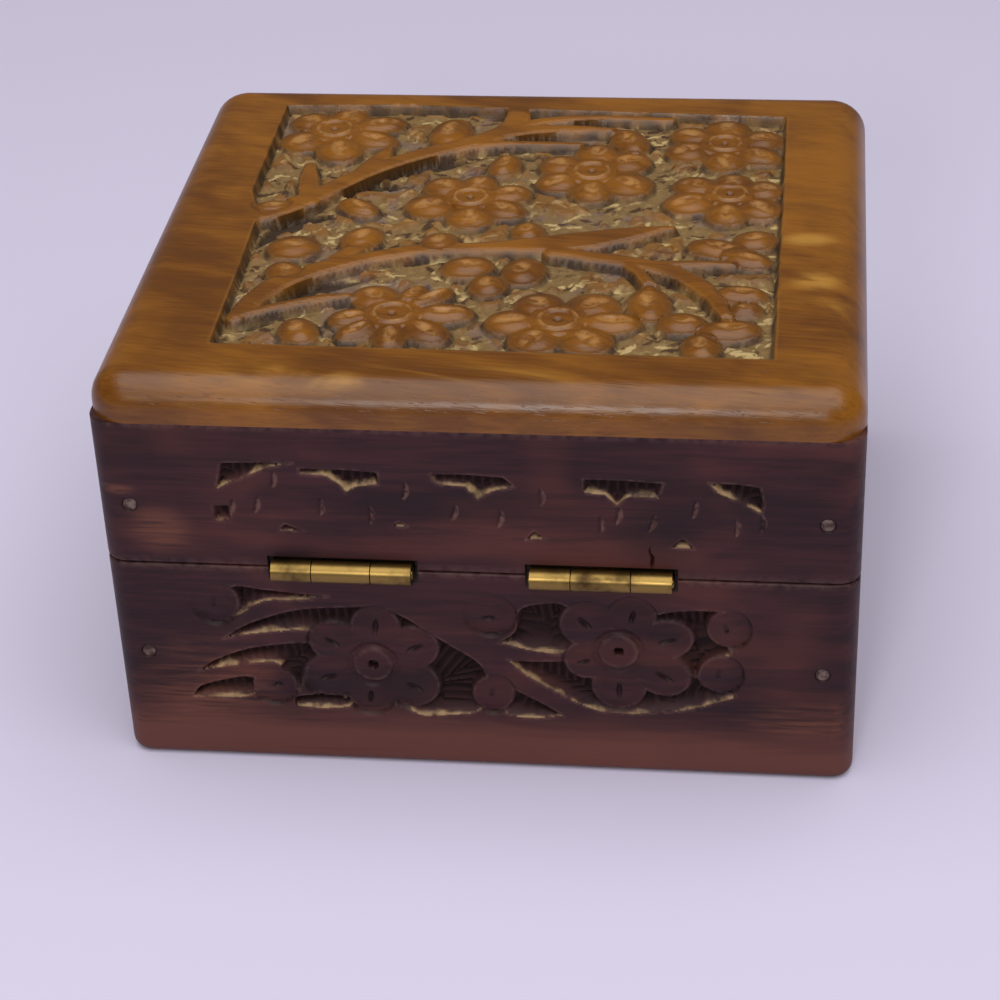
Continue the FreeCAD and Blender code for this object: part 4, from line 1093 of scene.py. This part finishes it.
def top_wood():
    """Varnished golden brown wood, dusty in the sunk ground."""
    wood = Finish("varnished_top_wood")
    figure = wood.clouds(wood.place(grain_scale("X", 34, 150), 14), detail=5, warp=0.7)
    fibre = wood.clouds(wood.place(grain_scale("X", 160, 2100), 6), detail=3)
    cloud = wood.clouds(wood.place((38, 26, 38)), detail=3, warp=0.8)
    tone = wood.ramp(figure * 0.5 + fibre * 0.2 + cloud * 0.42, 0.40, 0.72)
    skin = wood.mix(tone, colour(92, 50, 2), colour(138, 85, 12))
    pores = wood.ramp(wood.clouds(wood.place(grain_scale("X", 300, 2800), 6), detail=2), 0.60, 0.72)
    skin = wood.mix(pores * 0.3, skin, colour(72, 36, 6))
    fresh, sunk, dark, rub, figure_and_highlight = (wood.mask(name) for name in ("fresh", "sunk", "dark", "rub", "figure_and_highlight"))
    # Pale gold figure on the border, and a painted highlight along the rounded rear edge
    skin = wood.mix(figure_and_highlight * wood.ramp(figure, 0.42, 0.62) * 0.6, skin, colour(186, 138, 58))
    # Pale edge lines: rubbed wear and painted highlight
    skin = wood.mix(rub * 0.3, skin, colour(166, 116, 54))
    speck = wood.clouds(wood.place((700, 700, 700)), detail=3)
    # Pale scoops and cut edges: bare wood, partly a painted highlight
    skin = wood.mix(fresh * wood.ramp(speck, 0.35, 0.6) * 0.6, skin, colour(184, 136, 80))
    mark = wood.mask("tone") + (speck - 0.5) * 0.9
    dust = wood.mix(wood.ramp(mark, 0.1, 0.5), colour(60, 38, 16), colour(118, 92, 52))
    dust = wood.mix(wood.ramp(mark, 0.5, 0.95), dust, colour(178, 154, 104))
    # Violet-grey patches on the sunk ground: a painted reflection of the lilac floor
    violet = wood.ramp(wood.clouds(wood.place((110, 110, 110)), detail=3, warp=0.6), 0.54, 0.64)
    dust = wood.mix(violet * 0.5, dust, colour(108, 88, 88))
    skin = wood.mix(sunk * 0.95, skin, dust)
    # Painted shade in the cuts, slits, eye holes and along the motif rims
    skin = wood.mix(dark * 0.9, skin, colour(38, 22, 9))
    scratch = wood.bump(fibre + pores * -0.6, 0.00006, 0.5)
    grit = wood.bump(speck * sunk, 0.0005, 0.8, scratch)
    wood.set(Base_Color=skin, Roughness=0.24 + 0.5 * sunk + 0.14 * fibre, Normal=grit, Specular_IOR_Level=0.4)
    return wood.material


def wall_wood(along):
    """Dark red-brown wood with a worn varnish."""
    wood = Finish(f"dark_wall_wood_{along.lower()}")
    figure = wood.clouds(wood.place(grain_scale(along, 16, 150)), detail=6, rough=0.6, warp=0.9)
    fibre = wood.clouds(wood.place(grain_scale(along, 110, 1700)), detail=3)
    patch = wood.clouds(wood.place(grain_scale(along, 22, 45)), detail=3, warp=0.6)
    tone = wood.ramp(figure * 0.7 + fibre * 0.3, 0.38, 0.66)
    skin = wood.mix(tone, colour(35, 16, 20), colour(61, 30, 33))
    skin = wood.mix(wood.ramp(patch, 0.48, 0.70) * 0.6, skin, colour(96, 50, 40))
    foot = 1 - wood.ramp(wood.height() + (figure - 0.5) * 0.012, 0.004, 0.011)
    skin = wood.mix(foot * 0.7, skin, colour(112, 66, 54))
    streak = wood.ramp(wood.clouds(wood.place(grain_scale(along, 11, 300)), detail=4, warp=1.4), 0.56, 0.66)
    skin = wood.mix(streak * 0.5, skin, colour(34, 17, 22))
    fresh, sunk, dark, rub, worn = (wood.mask(name) for name in ("fresh", "sunk", "dark", "rub", "worn"))
    skin = wood.mix(worn * wood.ramp(figure * 0.6 + fibre * 0.4, 0.40, 0.60) * 0.6, skin, colour(118, 72, 52))
    speck = wood.clouds(wood.place((800, 800, 800)), detail=3)
    # Pale edge lines: rubbed wear and painted highlight
    skin = wood.mix(rub * wood.ramp(speck, 0.35, 0.6) * 0.5, skin, colour(122, 88, 80))
    skin = wood.mix(sunk * 0.5, skin, colour(54, 32, 30))
    # Painted shade in pockets, grooves, scoops, cuts and the crack; stain on the lid and round the nails
    skin = wood.mix(dark * 0.9, skin, colour(22, 12, 13))
    # Pale lower edges of the pockets: bare cut wood, partly a painted highlight
    chips = wood.ramp(wood.clouds(wood.place((260, 260, 260)), detail=2) * 0.6 + speck * 0.4, 0.36, 0.6)
    skin = wood.mix(fresh * chips * 0.85, skin, colour(168, 138, 98))
    scratch = wood.bump(fibre + speck * 0.3, 0.00008, 0.6)
    wood.set(Base_Color=skin, Roughness=0.44 + 0.35 * sunk + 0.14 * fibre, Normal=scratch,
             Specular_IOR_Level=0.22)
    return wood.material


def bare_wood(name, along, low, high):
    """Planed wood with no varnish, for the inside."""
    wood = Finish(name)
    figure = wood.clouds(wood.place(grain_scale(along, 14, 130)), detail=5, warp=0.8)
    fibre = wood.clouds(wood.place(grain_scale(along, 90, 1500)), detail=3)
    skin = wood.mix(wood.ramp(figure * 0.7 + fibre * 0.3, 0.36, 0.66), low, high)
    wood.set(Base_Color=skin, Roughness=0.68 + 0.15 * fibre, Normal=wood.bump(fibre, 0.00008, 0.7))
    return wood.material


def brass():
    """Old brass, a little tarnished."""
    metal = Finish("old_brass")
    tarnish = metal.clouds(metal.place((220, 300, 300)), detail=4)
    scratch = metal.clouds(metal.place((150, 5000, 5000)), detail=2)
    skin = metal.mix(metal.ramp(tarnish, 0.45, 0.75), colour(138, 112, 62), colour(66, 50, 30))
    metal.set(Base_Color=skin, Metallic=1.0, Roughness=0.22 + 0.2 * tarnish + 0.08 * scratch,
              Normal=metal.bump(scratch * 0.6 + tarnish, 0.00003, 0.4))
    return metal.material


def steel():
    """Dull, stained nail heads."""
    metal = Finish("dull_steel")
    rust = metal.clouds(metal.place((900, 900, 900)), detail=4)
    skin = metal.mix(metal.ramp(rust, 0.4, 0.65), colour(122, 104, 94), colour(70, 50, 44))
    metal.set(Base_Color=skin, Metallic=0.5, Roughness=0.5 + 0.3 * rust,
              Normal=metal.bump(rust, 0.00004, 0.6))
    return metal.material


# Finishes of the boards: the outer faces, the inner face, then the let-in rooms of the hinges, painted
# near-black as shade
INSIDE_TONES = (colour(96, 60, 40), colour(138, 92, 60))
# Near-black wood for the let-in rooms of the hinges: painted shade in those recesses
HINGE_ROOM_SHADE_FINISH = bare_wood("painted_shade_hinge_room", "X", colour(20, 11, 10), colour(36, 21, 18))
WALL_FINISHES = {axis: (wall_wood(axis), bare_wood(f"inside_wood_{axis.lower()}", axis, *INSIDE_TONES),
                        HINGE_ROOM_SHADE_FINISH) for axis in "XY"}
TOP_FINISHES = (top_wood(), WALL_FINISHES["X"][1])

# Boards
walls = {
    "base": build_walls("base", 0, BASE_HEIGHT, (FOOT_RADIUS, RIM_RADIUS),
                        (BASE_FIELD_LEFT, BASE_FIELD_RIGHT, BASE_FIELD_BELOW, BASE_FIELD_ABOVE), base_carving,
                        {"worn": BASE_WORN_SPOTS}),
    "lid": build_walls("lid", LID_BOTTOM, LID_WALL_TOP, (RIM_RADIUS, 0.0),
                       (LID_FIELD_LEFT, LID_FIELD_RIGHT, LID_FIELD_BELOW, LID_FIELD_ABOVE), lid_carving,
                       {"worn": LID_WORN_SPOTS, "stain": LID_STAIN_SPOTS, "crack": LID_CRACK}),
}
for wall in walls["base"].values():
    cut_away(wall, rebate())
for part, way in (("base", -1), ("lid", 1)):
    cut_away(walls[part]["rear"], hinge_mortises(way))
    cut_away(walls[part]["rear"], hinge_grooves())
top_board = build_top()

for part, made in walls.items():
    for name, wall in made.items():
        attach(wall, part)
        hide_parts(f"{part}_{name}_wall")
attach(top_board, "lid")
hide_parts("lid_top_board")
for piece in [top_board, *walls["base"].values(), *walls["lid"].values()]:
    piece.data.shade_smooth()
    piece.data.set_sharp_from_angle(angle=math.radians(SHARP_ANGLE))

# Finishes of the other pieces
brass_finish, steel_finish = brass(), steel()
bottom_finish = bare_wood("bottom_wood", "X", colour(110, 76, 48), colour(152, 112, 74))
node_finishes = {"hinge": brass_finish, "nails": steel_finish, "brads": steel_finish,
                 "bottom_board": bottom_finish}
for name, node in frame["nodes"].items():
    for word, finish in node_finishes.items():
        if word in name:
            for material_slot in node.material_slots:
                material_slot.material = finish

# Floor
FLOOR_REACH = 3  # metres from the middle to each edge
bm = bmesh.new()
bmesh.ops.create_grid(bm, x_segments=1, y_segments=1, size=FLOOR_REACH)
floor_mesh = bpy.data.meshes.new("floor")
bm.to_mesh(floor_mesh)
bm.free()
floor = bpy.data.objects.new("floor", floor_mesh)
bpy.context.scene.collection.objects.link(floor)
floor_finish = Finish("pale_floor")
floor_finish.set(Base_Color=colour(206, 199, 221), Roughness=0.9)
floor_mesh.materials.append(floor_finish.material)

# Light
WORLD_COLOUR = (0.97, 0.96, 1.0, 1)
WORLD_STRENGTH = 0.16
scene = bpy.context.scene
scene.view_settings.view_transform = "Standard"
world = bpy.data.worlds.new("studio")
world.use_nodes = True
background = world.node_tree.nodes["Background"]
background.inputs["Color"].default_value = WORLD_COLOUR
background.inputs["Strength"].default_value = WORLD_STRENGTH
scene.world = world


def soft_light(name, place, aim, size, power):
    """A square soft box that points at a place."""
    lamp = bpy.data.lights.new(name, "AREA")
    lamp.size = size
    lamp.energy = power
    light = bpy.data.objects.new(name, lamp)
    light.location = place
    light.rotation_euler = (Vector(aim) - Vector(place)).to_track_quat("-Z", "Y").to_euler()
    scene.collection.objects.link(light)


soft_light("overhead", (-0.05, 0.2, 1.0), (0, 0.05, 0), 1.3, 13.0)
soft_light("window", (0.05, 0.62, 0.36), (0, 0.04, 0.04), 0.1, 1.1)

# Camera: the photograph's viewing angle
CAMERA_PLACE = (-0.0415, 0.3296, 0.2303)
CAMERA_TURN = 187.63  # degrees, as are the dip and the roll
CAMERA_DIP = 33.07
CAMERA_ROLL = -2.45
CAMERA_LENS = 95.6  # millimetres, as is the sensor
SENSOR_WIDTH = 36
camera = bpy.data.objects.new("camera", bpy.data.cameras.new("camera"))
camera.data.lens = CAMERA_LENS
camera.data.sensor_width = SENSOR_WIDTH
camera.data.clip_start = 0.01
camera.matrix_world = (Matrix.Translation(CAMERA_PLACE) @ Matrix.Rotation(math.radians(CAMERA_TURN), 4, "Z")
                       @ Matrix.Rotation(math.radians(90 - CAMERA_DIP), 4, "X")
                       @ Matrix.Rotation(math.radians(CAMERA_ROLL), 4, "Z"))
scene.collection.objects.link(camera)
scene.camera = camera
